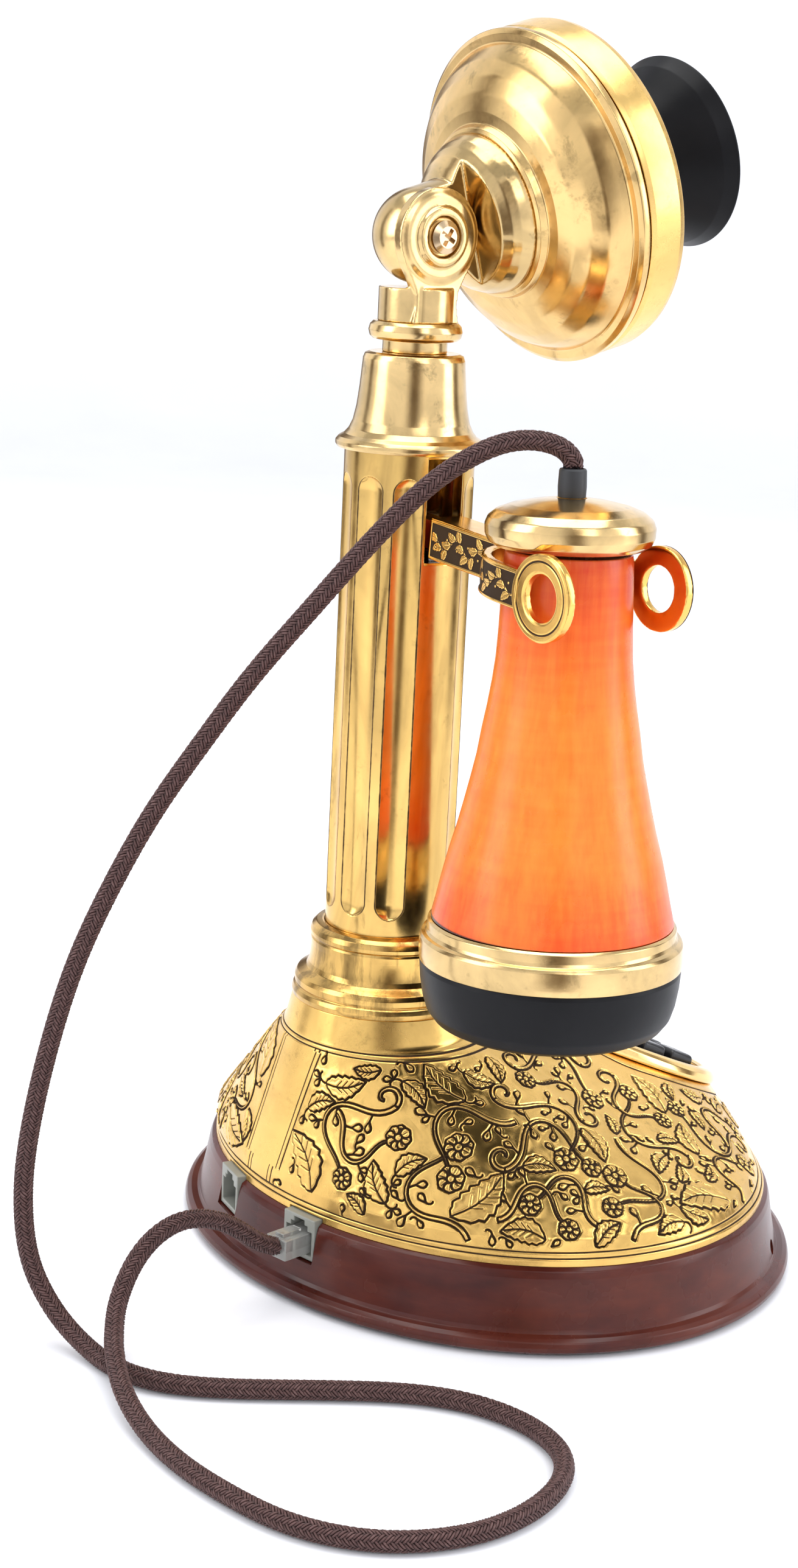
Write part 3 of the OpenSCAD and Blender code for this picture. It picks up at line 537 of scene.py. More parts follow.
def braided_cord():
    """Eight pairs of yarns each way, over and under, on a core; the yarns are painted darker where they dip
    under and on their inner face, and the core darkest, as painted shade.
    """
    rng = np.random.RandomState(11)
    pitch, carriers, amp, half_w, half_t = 13.6, 8, 0.27, 0.31, 0.25
    r0 = CORD_R - half_t - amp
    verts, faces, shades_and_tones = [], [], []
    base = 0
    ring_angles = np.arange(6) * math.pi / 3
    for way in (1, -1):
        for k in range(carriers):
            for side in (-0.5, 0.5):
                q = 2 * k + way * 16 * dist / pitch
                rad = r0 + way * amp * np.clip(1.6 * np.cos(2 * math.pi * (q - 0.5) / 4), -1, 1)
                phi = way * 2 * math.pi * dist / pitch + 2 * math.pi * k / carriers
                cross = math.atan(2 * math.pi * r0 / pitch)
                shift = side * 0.66
                phi = phi + shift * math.cos(cross) / r0
                along = -way * shift * math.sin(cross)
                c, s = np.cos(phi)[:, None], np.sin(phi)[:, None]
                radial = c * nor + s * bin_
                around = -s * nor + c * bin_
                mid = line + radial * rad[:, None] + tan * along
                run = tan * math.cos(cross) + way * around * math.sin(cross)
                wide = np.cross(radial, run)
                rings = (mid[:, None, :] + half_w * np.cos(ring_angles)[None, :, None] * wide[:, None, :]
                         + half_t * np.sin(ring_angles)[None, :, None] * radial[:, None, :])
                v, f = tube_mesh(rings)
                verts.append(v)
                faces.extend([tuple(a + base for a in g) for g in f])
                # Painted shade: each yarn is coloured darker where it dips under a crossing and on its inner
                # face; the random part is the yarn's own tone.
                lift = np.repeat((rad - r0 + amp) / (2 * amp), len(ring_angles))
                out = np.tile(np.clip(np.sin(ring_angles), -1, 1), len(rad))
                shades_and_tones.append(np.clip(0.08 + 0.62 * lift + 0.22 * out + rng.uniform(-0.08, 0.08), 0, 1))
                base += len(v)
    core_angles = np.arange(10) * math.pi / 5
    rings = line[:, None, :] + 1.95 * (np.cos(core_angles)[None, :, None] * nor[:, None, :]
                                      + np.sin(core_angles)[None, :, None] * bin_[:, None, :])
    v, f = tube_mesh(rings[::3])
    verts.append(v)
    faces.extend([tuple(a + base for a in g) for g in f])
    # Painted shade: the core, seen only between the yarns, gets the darkest colour.
    shades_and_tones.append(np.full(len(v), 0.0))
    v = np.vstack(verts) * MM
    v[:, 2] = np.maximum(v[:, 2], 0.0001)
    ob = new_object("cord_braid", v, faces, braid_material(), None, ("cord",))
    attribute(ob.data, "shade_and_tone", np.concatenate(shades_and_tones))
    return ob


cord = braided_cord()

# ---- shell

SIDES = 1800


PAD_C = np.array([0, -42.0, 52.7])
PAD_A = math.radians(23)
PAD_X = np.array([1.0, 0, 0])
PAD_Y = np.array([0, math.cos(PAD_A), math.sin(PAD_A)])
PAD_Z = np.array([0, -math.sin(PAD_A), math.cos(PAD_A)])
PAD_HALF = (35.0, 38.0)


def pad_local(p):
    d = p - PAD_C
    return d @ PAD_X, d @ PAD_Y, d @ PAD_Z


def pad_matrix():
    m = Matrix.Translation(Vector(PAD_C) * MM) @ Matrix.Rotation(PAD_A, 4, "X")
    return m


def shell_hull():
    t = full_turn(180)
    pts = []
    for z, a, b, cy in ((22.4, 86.9, 75.8, 0), (23.9, 86.9, 75.8, 0), (30, 84.6, 72.9, 2.7)):
        pts += [(a * math.cos(q), cy + b * math.sin(q), z) for q in t]
    pts += [(27.4 * math.cos(q), 40 + 27.4 * math.sin(q), z) for z in (60, 69.5) for q in t]
    for lz in (-5.0, -4.0):
        for q in t:
            v = PAD_C + PAD_HALF[0] * math.cos(q) * PAD_X + PAD_HALF[1] * math.sin(q) * PAD_Y + lz * PAD_Z
            pts.append(tuple(v))
    bm = bmesh.new()
    vs = [bm.verts.new(p) for p in pts]
    bmesh.ops.convex_hull(bm, input=vs)
    bm.faces.ensure_lookup_table()
    bmesh.ops.triangulate(bm, faces=bm.faces)
    tree = BVHTree.FromBMesh(bm)
    bm.free()
    return tree


def at_jack(i):
    x = (-15.6, 21)[i]
    y = (BASE_B - 6.6) * math.sqrt(1 - (x / (BASE_A - 6.6)) ** 2) + 0.3
    return Matrix.Translation(Vector((x, y, 11.4)) * MM) @ Matrix.Rotation(math.radians((9, -12)[i]), 4, "Z")


def in_jack(p, i, grow=0.3):
    """True where a point in mm lies inside the pocket for jack i."""
    m = np.array(at_jack(i).inverted())
    q = p * MM @ m[:3, :3].T + m[:3, 3]
    q = q / MM
    return (abs(q[..., 0]) < 6 + grow) & (q[..., 1] > -20) & (q[..., 2] > -0.3) & (q[..., 2] < 12 + grow)


SHELL_ROWS = 290
hull_tree = shell_hull()


def shell_skin():
    """Rows of points round the shell, from its lower edge to its neck."""
    zs = np.r_[np.linspace(22.45, 69.5, SHELL_ROWS), np.linspace(70.1, 77, 28)]
    th = full_turn(SIDES)
    pts = np.zeros((len(zs), SIDES, 3))
    for r, z in enumerate(zs):
        if z > 69.5:
            rad = 27.4 + (25.6 - 27.4) * (z - 69.5) / 7.5
            pts[r] = np.stack([rad * np.cos(th), 40 + rad * np.sin(th), np.full(SIDES, z)], 1)
            continue
        ya = 40 * min(1, max(0, (z - 24) / 30)) ** 0.8
        zc = min(z, 69.45)
        for k, t in enumerate(th):
            d = Vector((math.cos(t), math.sin(t), 0))
            hit = hull_tree.ray_cast(Vector((0, ya, zc)) + 200 * d, -d)[0]
            pts[r, k] = (hit.x, hit.y, z) if hit else (27.4 * d.x, 40 + 27.4 * d.y, z)
    for _ in range(5):
        mid = pts[1:-1]
        mid += 0.2 * (pts[:-2] + pts[2:] - 2 * mid)
        pts += 0.2 * (np.roll(pts, 1, 1) + np.roll(pts, -1, 1) - 2 * pts)
    return pts


skin = shell_skin()


def skin_normals(p):
    du = np.roll(p, -1, 1) - np.roll(p, 1, 1)
    dv = np.gradient(p, axis=0)
    n = np.cross(du, dv)
    return n / np.maximum(np.linalg.norm(n, axis=2), 1e-9)[..., None]


skin_n = skin_normals(skin)

# ---- relief drawing
#
# Ornaments are short outline strokes and raised shapes, given in mm in the flat plane that
# touches the surface at the ornament's own centre.


class Relief:
    """Grid of surface points that collects grooves (line) and raised shapes (fill)."""

    def __init__(self, pts, normals, allowed, wrap=True):
        self.p, self.n, self.ok, self.wrap = pts, normals, allowed, wrap
        self.line = np.full(pts.shape[:2], 9.0)
        self.fill = np.zeros(pts.shape[:2])
        self.used = np.zeros(pts.shape[:2], bool)

    def at(self, r, k, radius):
        """Moves to grid point (r, k) and makes the window of points within the radius."""
        rows, cols = self.p.shape[:2]
        c, n = self.p[r, k], self.n[r, k]
        e1 = np.cross((0, 0, 1.0), n)
        e1 = e1 / max(np.linalg.norm(e1), 1e-9)
        e2 = np.cross(n, e1)
        kk = (k + 1) % cols if self.wrap else min(k + 1, cols - 2)
        sx = max(np.linalg.norm(self.p[r, kk] - self.p[r, kk - 1]), 0.05)
        r1, r0 = min(r + 1, rows - 1), max(r - 1, 0)
        sy = max(np.linalg.norm(self.p[r1, k] - self.p[r0, k]) / max(r1 - r0, 1), 0.05)
        dk, dr = int(radius / sx * 1.15) + 2, int(radius / sy * 1.6) + 2
        rr = np.arange(max(0, r - dr), min(rows, r + dr + 1))
        cc = np.arange(k - dk, k + dk + 1)
        cc = np.unique(cc % cols) if self.wrap else cc[(cc >= 0) & (cc < cols)]
        self.ix = np.ix_(rr, cc)
        d = self.p[self.ix] - c
        self.gx, self.gy = d @ e1, d @ e2
        self.far = np.abs(d @ n) > radius

    def inside(self, poly):
        res = np.zeros(self.gx.shape, bool)
        gx, gy = self.gx, self.gy
        x, y = poly[:, 0], poly[:, 1]
        for k in range(len(poly)):
            x1, y1, x2, y2 = x[k - 1], y[k - 1], x[k], y[k]
            if y1 == y2:
                continue
            res ^= ((y1 > gy) != (y2 > gy)) & (gx < (x2 - x1) * (gy - y1) / (y2 - y1) + x1)
        return res & ~self.far

    def stroke(self, pts, bias=0.0):
        p = np.asarray(pts, float)
        best = self.line[self.ix]
        gx, gy = self.gx, self.gy
        for a, b in zip(p[:-1], p[1:]):
            d = b - a
            t = np.clip(((gx - a[0]) * d[0] + (gy - a[1]) * d[1]) / max(float(d @ d), 1e-9), 0, 1)
            dist2 = np.hypot(gx - a[0] - t * d[0], gy - a[1] - t * d[1]) + bias
            dist2[self.far] = 9
            best = np.minimum(best, dist2)
        self.line[self.ix] = best

    def shape(self, poly, height=1.0):
        poly = np.asarray(poly, float)
        ins = self.inside(poly)
        self.line[self.ix] = np.where(ins, 9.0, self.line[self.ix])
        self.fill[self.ix] = np.where(ins, height, self.fill[self.ix])
        self.used[self.ix] |= ins
        self.stroke(np.vstack([poly, poly[:1]]))

    def free(self, poly, share=0.05):
        ins = self.inside(np.asarray(poly, float))
        n = ins.sum()
        if n < 4 or not self.ok[self.ix][ins].all():
            return False
        return self.used[self.ix][ins].sum() <= share * n


def rot(p, a):
    c, s = math.cos(a), math.sin(a)
    return np.stack([p[:, 0] * c - p[:, 1] * s, p[:, 0] * s + p[:, 1] * c], 1)


def ring(n):
    t = full_turn(n)
    return np.stack([np.cos(t), np.sin(t)], 1)


def mirrored(x, half):
    """Closed outline that is the same on both sides of the X axis."""
    up = np.stack([x, half], 1)
    return np.vstack([up, up[::-1][1:-1] * [1, -1]])


def ribbon(pts, width, taper=1):
    """Outline of a strip along the points."""
    d = np.gradient(pts, axis=0)
    n = np.stack([-d[:, 1], d[:, 0]], 1) / np.maximum(np.linalg.norm(d, axis=1), 1e-9)[:, None]
    side = n * width * taper * 0.5
    return np.vstack([pts + side, (pts - side)[::-1]])


def leaf_poly(length, width, teeth=5, bend=0.15):
    """Serrated leaf along +X from the origin."""
    t = np.linspace(0, 1, teeth * 3 + 1)
    half = width * np.sin(math.pi * t ** 0.8) ** 0.8 * 0.5
    tooth = 1 + 0.36 * (1 - (t * teeth) % 1) * (t < 0.95) * (t > 0.05)
    p = mirrored(t * length, half * tooth)
    p[:, 1] += bend * length * np.sin(math.pi * np.clip(p[:, 0] / length, 0, 1)) * 0.5
    return p


def draw_leaf(s, a, length, width, teeth=5, bend=0.15, at=(0, 0)):
    at = np.array(at)
    s.shape(rot(leaf_poly(length, width, teeth, bend), a) + at)
    t = np.linspace(0.02, 0.92, 6)
    s.stroke(rot(np.stack([t * length, bend * length * np.sin(math.pi * t) * 0.5], 1), a) + at, 0.05)
    for k in range(2, 6):
        f = k / 7
        b = np.array([f * length, bend * length * math.sin(math.pi * f) * 0.5])
        reach = width * 0.34 * math.sin(math.pi * f ** 0.8)
        for sign in (1, -1):
            s.stroke(rot(np.stack([b, b + [0.15 * length, sign * reach]]), a) + at, 0.16)


def draw_flower(s, r, petals, start, at):
    for k in range(petals):
        a = start + k * 2 * math.pi / petals
        t = np.linspace(0, 1, 8)
        half = r * math.sin(math.pi / petals) * 1.05 * np.sin(math.pi * (0.12 + 0.88 * t) ** 1.4) ** 0.6
        s.shape(rot(mirrored(r * (0.22 + 0.78 * t), half), a) + at)
        s.stroke(rot(np.array([[0.42 * r, 0], [0.80 * r, 0]]), a) + at, 0.14)
    s.shape(0.30 * r * ring(14) + at, 1.6)


def draw_band(s, pts, width):
    s.shape(ribbon(pts, width, np.linspace(1, 0.5, len(pts))[:, None]))


def spiral(a, r0, turns, way=1, n=22, start=(0, 0)):
    """A tendril from the start, heading a, that curls in on itself."""
    x, y = start
    pts = [(x, y)]
    for k in range(n):
        r = r0 * (1 - 0.86 * k / n)
        step = turns * 2 * math.pi / n
        a += way * step
        x += r * step * math.cos(a)
        y += r * step * math.sin(a)
        pts.append((x, y))
    return np.array(pts)


def bud(length, width):
    """Teardrop along +X, its point at the origin."""
    t = np.linspace(0, 1, 8)
    return mirrored(t * length, 0.5 * width * np.sin(math.pi * t ** 1.7) ** 0.75)


def grown(poly, by):
    """The same outline pushed out, to keep plain ground between ornaments."""
    c = poly.mean(0)
    d = poly - c
    r = np.linalg.norm(d, axis=1)[:, None]
    return c + d * (1 + by / np.maximum(r, 0.5))


def try_leaf(s, at, a, length, bend, gap=0.8):
    width = length * 0.42
    poly = rot(leaf_poly(length, width, 5, bend), a) + at
    if not s.free(grown(poly, gap), 0.03):
        return False
    draw_leaf(s, a, length, width, 6 if length > 11 else 5, bend, at)
    return True


def try_bud(s, at, a, length):
    poly = rot(bud(length, length * 0.55), a) + at
    if not s.free(grown(poly, 0.6), 0.03):
        return False
    s.shape(poly)
    return True


def blocked(s, pts, width=1.2):
    return not s.free(ribbon(pts, width), 0.06)


def sprig(s, r, length):
    """Winding stem with a flower, leaves, curled lobes and buds, from the current point."""
    way = 1 if r.uniform() < 0.5 else -1
    a0 = r.uniform(0, 2 * math.pi)
    t = np.linspace(0, 1, 25)
    a = a0 + way * (1.25 * np.sin(2 * math.pi * t * r.uniform(0.75, 0.95)))
    step = length / 24
    stem = np.cumsum(np.stack([np.cos(a), np.sin(a)], 1) * step, 0)
    stem -= stem[12]
    if blocked(s, stem, 2.0):
        return False
    fr = r.uniform(2.9, 3.8)
    end = stem[-1] + np.array([math.cos(a[-1]), math.sin(a[-1])]) * fr * 0.9
    if not s.free(end + ring(12) * (fr + 0.5), 0.04):
        return False
    draw_band(s, stem, 1.25)
    draw_flower(s, fr, r.randint(6, 9), r.uniform(0, 6), end)
    for k, sign in ((2, 1), (5, -1), (9, 1), (13, -1), (17, 1), (20, -1)):
        size = r.uniform(14, 18) if k in (5, 9, 13) else r.uniform(10, 14)
        head = a[k] + sign * r.uniform(0.55, 0.95)
        for ln in (size, size * 0.8, size * 0.6):
            if try_leaf(s, stem[k], head, ln, -0.28 * sign, 0.5):
                break
    for k, sign in ((4, 1), (11, 1), (15, -1)):
        head = a[k] + sign * 1.2
        d = np.array([math.cos(head), math.sin(head)])
        stalk = np.stack([stem[k] + d * q for q in np.linspace(0.6, 2.6, 4)])
        if try_bud(s, stalk[-1], head + 0.25 * sign, r.uniform(2.8, 3.8)):
            s.stroke(stalk)
            try_bud(s, stalk[2], head - 0.75, 2.6)
            try_bud(s, stalk[2], head + 0.95, 2.6)
    curl = spiral(a[0] + math.pi, 3.6, 0.85, -way, 20, stem[0])
    if not blocked(s, curl[3:]):
        draw_band(s, curl, 1.1)
    return True


def decorate(s, seed, sprigs, singles, buds):
    """Sprigs first, then single leaves with a curled stalk, curls and pairs of buds."""
    r = np.random.RandomState(seed)
    du = np.linalg.norm(np.roll(s.p, -1, 1) - s.p, axis=2)
    dv = np.linalg.norm(np.gradient(s.p, axis=0), axis=2)
    total = np.cumsum((du * dv)[s.ok])
    ok = np.argwhere(s.ok)

    def pick(n):
        return ok[np.minimum(np.searchsorted(total, r.uniform(0, total[-1], n)), len(ok) - 1)]

    for length, number in sprigs:
        done = 0
        for i, k in pick(number * 60):
            if done >= number:
                break
            if s.used[i, k]:
                continue
            s.at(i, k, length * 0.95)
            done += sprig(s, r, length)
    for length, tries in singles:
        for i, k in pick(tries):
            if s.used[i, k]:
                continue
            a, sign = r.uniform(0, 2 * math.pi), 1 if r.uniform() < 0.5 else -1
            s.at(i, k, length * 1.5)
            if try_leaf(s, np.zeros(2), a, length, 0.25 * sign, 0.9):
                stalk = spiral(a + math.pi, 2.6, 0.45, sign, 10)
                if not blocked(s, stalk[3:]):
                    s.stroke(stalk)
                for b in (0.8, -0.8):
                    try_bud(s, stalk[4], a + math.pi + b, 2.8)
    for i, k in pick(buds):
        if s.used[i, k]:
            continue
        a = r.uniform(0, 2 * math.pi)
        s.at(i, k, 5)
        ln = r.uniform(2.4, 3.6)
        if try_bud(s, np.zeros(2), a, ln):
            if try_bud(s, np.zeros(2), a + 0.9, ln):
                try_bud(s, np.zeros(2), a - 0.9, ln * 0.9)
            s.stroke(spiral(a + math.pi, 1.6, 0.35, 1, 7))


def relief_height(s, depth):
    """Puffed shapes with cut outlines on a lower ground, in mm."""
    near = np.exp(-np.minimum(s.line, 4) / 0.9)
    up = np.where(s.fill > 0, 0.45 + 0.35 * near * (s.fill > 0), 0.30 * near)
    cut = np.exp(-(s.line / 0.27) ** 2)
    return depth * (up - 1.05 * cut)


# ---- relief on the shell

lx, ly, lz = pad_local(skin)
pad_edge = np.hypot(lx / (PAD_HALF[0] + 1.6), ly / (PAD_HALF[1] + 1.6))
pad_out = (pad_edge > 1) | (lz < -9)
cut_out = (np.hypot(lx / (PAD_HALF[0] - 5), ly / (PAD_HALF[1] - 5)) < 1) & (lz > -12)
zz = skin[..., 2]
band_mid = 8.2 - (zz - 24) * 9 / 51
band_half = np.where(zz < 31.5, 6.0, 9.0) + np.where(zz > 66, -0.6, 0)
band_off = np.abs(skin[..., 0] - band_mid) - band_half
at_rear = skin[..., 1] > 30
allowed = (zz >= 26.6) & (zz <= 67.2) & pad_out & (pad_edge > 1.06) & ~(at_rear & (band_off < 0))
relief = Relief(skin, skin_n, allowed)
decorate(relief, 5, ((38, 18), (28, 16)), ((18, 700), (15, 900), (12, 1300), (9.5, 1300), (7.5, 900)), 520)

h = np.where(allowed, relief_height(relief, 0.85), 0.0)
mark = np.where(allowed, np.exp(-(relief.line / 0.30) ** 2), 0.0)


for z0, width, depth in ((24.7, 0.22, 0.30), (26.3, 0.22, 0.30), (68.2, 0.22, 0.3), (66.9, 0.2, 0.25)):
    g = np.where(pad_out, np.exp(-((zz - z0) / width) ** 2), 0)
    h -= g * depth
    mark = np.maximum(mark, g)

near_rear = at_rear & (zz > 26.4) & (zz < 67)
for off, width, depth in ((0.2, 0.28, 0.35), (-1.4, 0.2, 0.2)):
    q = np.where(near_rear, np.exp(-(np.abs(band_off - off) / width) ** 2), 0)
    h -= depth * q
    mark = np.maximum(mark, q * 0.9)
pe = np.where((lz > -12), (pad_edge - 1.045) * 36, 9)
q = np.exp(-(pe / 0.3) ** 2)
h -= 0.3 * q
mark = np.maximum(mark, q * 0.9)

shell_pts = skin + skin_n * np.clip(h, -0.9, 0.55)[..., None]
jack_cut = in_jack(skin, 0) | in_jack(skin, 1)
hole = cut_out | jack_cut
keep = ~(hole[:-1] | hole[1:] | np.roll(hole, -1, 1)[:-1] | np.roll(hole, -1, 1)[1:])
shell = grid_object("base_shell_relief", shell_pts * MM, shell_brass, "phone",
                    ("base_shell",), keep=keep, extra={"line": mark})
bm = bmesh.new()
bm.from_mesh(shell.data)
bm.normal_update()
rim_edges = [e for e in bm.edges if e.is_boundary]
nor_at = {v.index: v.normal.copy() for e in rim_edges for v in e.verts}
grown_edges = bmesh.ops.extrude_edge_only(bm, edges=rim_edges)["geom"]
old_at = kdtree.KDTree(len(nor_at))
bm.verts.ensure_lookup_table()
keys = list(nor_at)
for n_, key in enumerate(keys):
    old_at.insert(bm.verts[key].co, n_)
old_at.balance()
for g in grown_edges:
    if isinstance(g, bmesh.types.BMVert):
        g.co -= nor_at[keys[old_at.find(g.co)[1]]] * 0.0011
bm.to_mesh(shell.data)
bm.free()

# ---- plinth

PLINTH = [
    (12, 0.8), (1.6, 0.8, 0.3), (0.3, 1.8, 0.8), (0, 3, 0.8), (0.5, 4.4, 0.8), (1.8, 5.2, 0.5),
    (3.6, 5.5, 0.35), (4.1, 6.6, 0.6), (5.4, 12, 4), (6.8, 19.8, 2), (7.4, 21.6, 0.8), (8.6, 22.4, 0.5),
    (12, 22.4),
]


def plinth_piece():
    mat = plinth_material()
    prof = rounded(PLINTH, 0.4, 4)
    prof = np.vstack([prof, [[13.9, 22.35], [14.0, 20], [14.0, 3], [13, 0.8]]])
    dense = []
    for a, b in zip(prof[:-1], prof[1:]):
        n = max(1, int(np.linalg.norm(b - a) / 1.6))
        dense += [a + (b - a) * k / n for k in range(n)]
    prof = np.array(dense + [prof[-1]])
    t = full_turn(480)
    pts = np.zeros((len(prof) + 1, 480, 3))
    for i, (inset, z) in enumerate(np.vstack([prof, prof[:1]])):
        pts[i] = np.stack([(BASE_A - inset) * np.cos(t), (BASE_B - inset) * np.sin(t), np.full(480, z)], 1)
    wob = 0.10 * np.sin(3 * t + 0.6) + 0.06 * np.sin(7 * t) + 0.04 * np.sin(13 * t + 1)
    low = np.clip((pts[..., 2] - 5.5) / 3, 0, 1) * (pts[..., 2] < 22)
    pts[..., 0] += low * wob * np.cos(t)
    pts[..., 1] += low * wob * np.sin(t)
    ob = grid_object("plinth_wood", pts * MM, mat, "phone", ("plinth",))
    weld(ob.data)
    for i in (0, 1):
        recessed(ob, *box_data(-6.35, 6.35, -22, 10, -0.35, 12.35, at_jack(i)))
    n = 24
    m = (Matrix.Translation(Vector((-73.7, -46.7, 8.5)) * MM) @ Matrix.Rotation(math.radians(214), 4, "Z")
         @ Matrix.Rotation(math.radians(78), 4, "Y"))
    v = [m @ (Vector((2.2 * math.cos(2 * math.pi * k / n), 2.2 * math.sin(2 * math.pi * k / n), q)) * MM)
         for q in (-4, 4) for k in range(n)]
    f = [tuple(range(n - 1, -1, -1)), tuple(range(n, 2 * n))]
    f += [(k, (k + 1) % n, n + (k + 1) % n, n + k) for k in range(n)]
    recessed(ob, v, f)
    dress(ob.data, mat)
    smooth_by_angle(ob.data, 40)


def smooth_by_angle(me, degrees):
    bm = bmesh.new()
    bm.from_mesh(me)
    for f in bm.faces:
        f.smooth = True
    for e in bm.edges:
        e.smooth = len(e.link_faces) == 2 and e.calc_face_angle(0) < math.radians(degrees)
    bm.to_mesh(me)
    bm.free()


plinth_piece()

# ---- column and its turned parts

COLLAR = [
    (19, 77), (25.8, 77, 0.3), (26.0, 78.4, 0.5), (25.6, 79.6, 0.4), (25.0, 80.0, 0.2), (25.3, 80.8, 0.4),
    (25.3, 82.2, 0.5), (24.6, 83.4, 0.8), (23.2, 84.2, 0.8), (22.1, 84.9, 0.8), (21.5, 86.2, 1),
    (21.1, 88.6, 2), (21.0, 91.4, 1), (21.2, 93.2, 0.3), (20.9, 93.8, 0.2), (21.3, 94.4, 0.4),
    (21.4, 95.4, 0.6), (20.9, 96.7, 0.8), (19.8, 97.7, 0.8), (18.2, 98, 0.2), (17.55, 98), (17.55, 80),
    (19, 80),
]
lathe("collar_ring", COLLAR, column_brass, "phone", "collar")

CAPZ = 229.3
CAP = [
    (17.6, 0), (19.4, 0, 0.3), (20.0, 0.8, 0.5), (20.0, 1.8, 0.5), (19.2, 2.8, 0.6), (17.8, 3.6, 0.8),
    (16.6, 5.0, 1.2), (15.6, 7.2, 2), (14.8, 11, 4), (14.2, 16, 4), (13.8, 21, 3), (13.6, 23.6, 0.8),
    (13.1, 24.9, 0.6), (12.0, 25.4, 0.3), (8.0, 25.4), (8.0, 22), (10.8, 22), (11.6, 9), (14, 6.4),
    (17.4, 3.4),
]
lathe("column_cup", [(q[0], q[1] + CAPZ, *q[2:]) for q in CAP], cast_brass, "phone",
      "column_cap")
NECK0 = CAPZ + 25.4
lathe("neck_collar", [(4.3, NECK0), (8.6, NECK0), (8.6, 257.9, 0.4), (11.2, 258.0, 0.3), (12.1, 258.8, 0.6),
                      (12.5, 260.3, 1), (12.1, 261.8, 0.6), (11.2, 262.7, 0.3), (4.3, 262.7)],
      cast_brass, "phone", "neck_ring")


FLUTE_HALF, FLUTE_LOW, FLUTE_HIGH, FLUTE_CUT = 4.0, 107, 219, 1.32


def column_piece():
    """Hollow fluted column, with the slot for the hook."""
    zs = np.unique(np.r_[np.linspace(92.2, 100, 12), np.linspace(100, 112, 60), np.linspace(112, 214, 120),
                         np.linspace(214, 228, 70), np.linspace(228, 232.4, 10)])
    n = 720
    t = full_turn(n)
    pts = np.zeros((len(zs), n, 3))
    line = np.zeros((len(zs), n))
    for i, z in enumerate(zs):
        r = np.full(n, COL_R)
        for k in range(1, 10):
            a = math.pi + k * 2 * math.pi / 10
            d = (t - a + math.pi) % (2 * math.pi) - math.pi
            x = d * COL_R
            e = max(FLUTE_LOW - z, z - FLUTE_HIGH, 0)
            if e < FLUTE_HALF:
                w = math.sqrt(FLUTE_HALF * FLUTE_HALF - e * e)
                r -= FLUTE_CUT * (w / FLUTE_HALF) * np.clip(1 - (x / w) ** 2, 0, 1)
                line[i] = np.maximum(line[i], np.exp(-((np.abs(x) - w) / 0.35) ** 2) * 0.55)
        pts[i] = np.stack([r * np.cos(t), 40 + r * np.sin(t), np.full(n, z)], 1)
    keep = np.ones((len(zs) - 1, n), bool)
    side = np.abs(COL_R * np.sin(t)) < 6.0
    left = np.cos(t) < 0
    for i, z in enumerate(zs[:-1]):
        if 201 < z < CAPZ - 1:
            keep[i] = ~(left & side & np.roll(side, -1))
    ob = grid_object("column_fluted", pts * MM, flute_brass, "phone", ("column",), keep=keep,
                     extra={"line": line})
    m = ob.modifiers.new("wall", "SOLIDIFY")
    m.thickness = 0.0011
    m.offset = -1


column_piece()

# ---- knuckle

cast_copy("knuckle_ear", "knuckle_fork", cast_brass, "phone")
cast_copy("transmitter_neck", "transmitter_lug", cast_brass, "transmitter")

# ---- transmitter

TR = Matrix.Translation(Vector((0, 0.040, 0.285))) @ Matrix.Rotation(math.radians(90 - 15.6), 4, "X")
B, R = 21.6, 39.1
BELL = [
    (10.6, B), (21.8, B, 0.3), (22.7, B + 0.5, 0.5), (23.0, B + 1.4, 0.4), (23.4, B + 2.6, 0.6),
    (26.5, B + 3.0, 2), (31.0, B + 4.4, 6), (35.0, B + 6.8, 6), (38.4, B + 10.2, 6), (40.6, B + 13.6, 5),
    (41.6, R - 1.8, 0.8), (43.8, R - 1.9, 0.3), (45.1, R - 0.9, 0.7), (45.1, R + 0.8, 0.7),
    (44.2, R + 1.7, 0.4), (42.2, R + 1.9), (42.2, R + 5), (41.0, R + 5), (41.0, R + 1), (39.0, B + 14.2),
    (36.8, B + 11), (33.6, B + 8), (30, B + 5.8), (26, B + 4.4), (22, B + 4.2), (10.6, B + 3.4),
]
lathe("bell_cup", BELL, bell_brass, "transmitter", "transmitter_bell", TR, 256)
F = 53.0
FACE = [
    (42.3, R + 2.0), (44.4, R + 2.0, 0.2), (44.9, R + 3.4, 0.4), (45.0, R + 6, 2), (45.1, F - 2.4, 0.8),
    (44.6, F - 0.6, 0.7), (43.4, F, 0.7), (43, F - 0.2, 0.2), (42.2, F - 1.4, 0.3), (30, F - 1.0, 10),
    (18.4, F - 1.4, 0.4), (16.8, F - 0.6, 0.3), (14.2, F - 0.6), (14.2, F - 3), (42.3, F - 3),
]
lathe("face_rim", FACE, face_brass, "transmitter", "face_ring", TR, 256)
L = 90.4
S0 = F - 0.6
MOUTH = [
    (0.01, F - 5), (13.8, F - 5), (13.8, S0), (16.4, S0, 0.3), (16.4, S0 + 2.4, 0.5),
    (14.6, S0 + 3.4, 0.8), (13.4, S0 + 6.5, 3), (13.2, S0 + 10, 4), (13.8, S0 + 14, 5), (15.4, S0 + 19, 5),
    (18.2, S0 + 24, 5), (21.6, S0 + 29, 5), (24.6, S0 + 33.4, 4), (26.0, L - 1.6, 0.6),
    (26.6, L - 0.6, 0.5), (26.3, L, 0.4), (25.2, L, 0.5), (23.6, L - 3.0, 3), (20.6, L - 7.6, 4),
    (17.0, L - 13, 4), (14.2, L - 18, 4), (12.2, L - 23, 3), (11.4, L - 27, 2), (11.4, S0 - 1),
    (0.01, S0 - 1),
]
lathe("mouthpiece_horn", MOUTH, black_plastic, "transmitter", "mouthpiece", TR, 192)

# ---- receiver

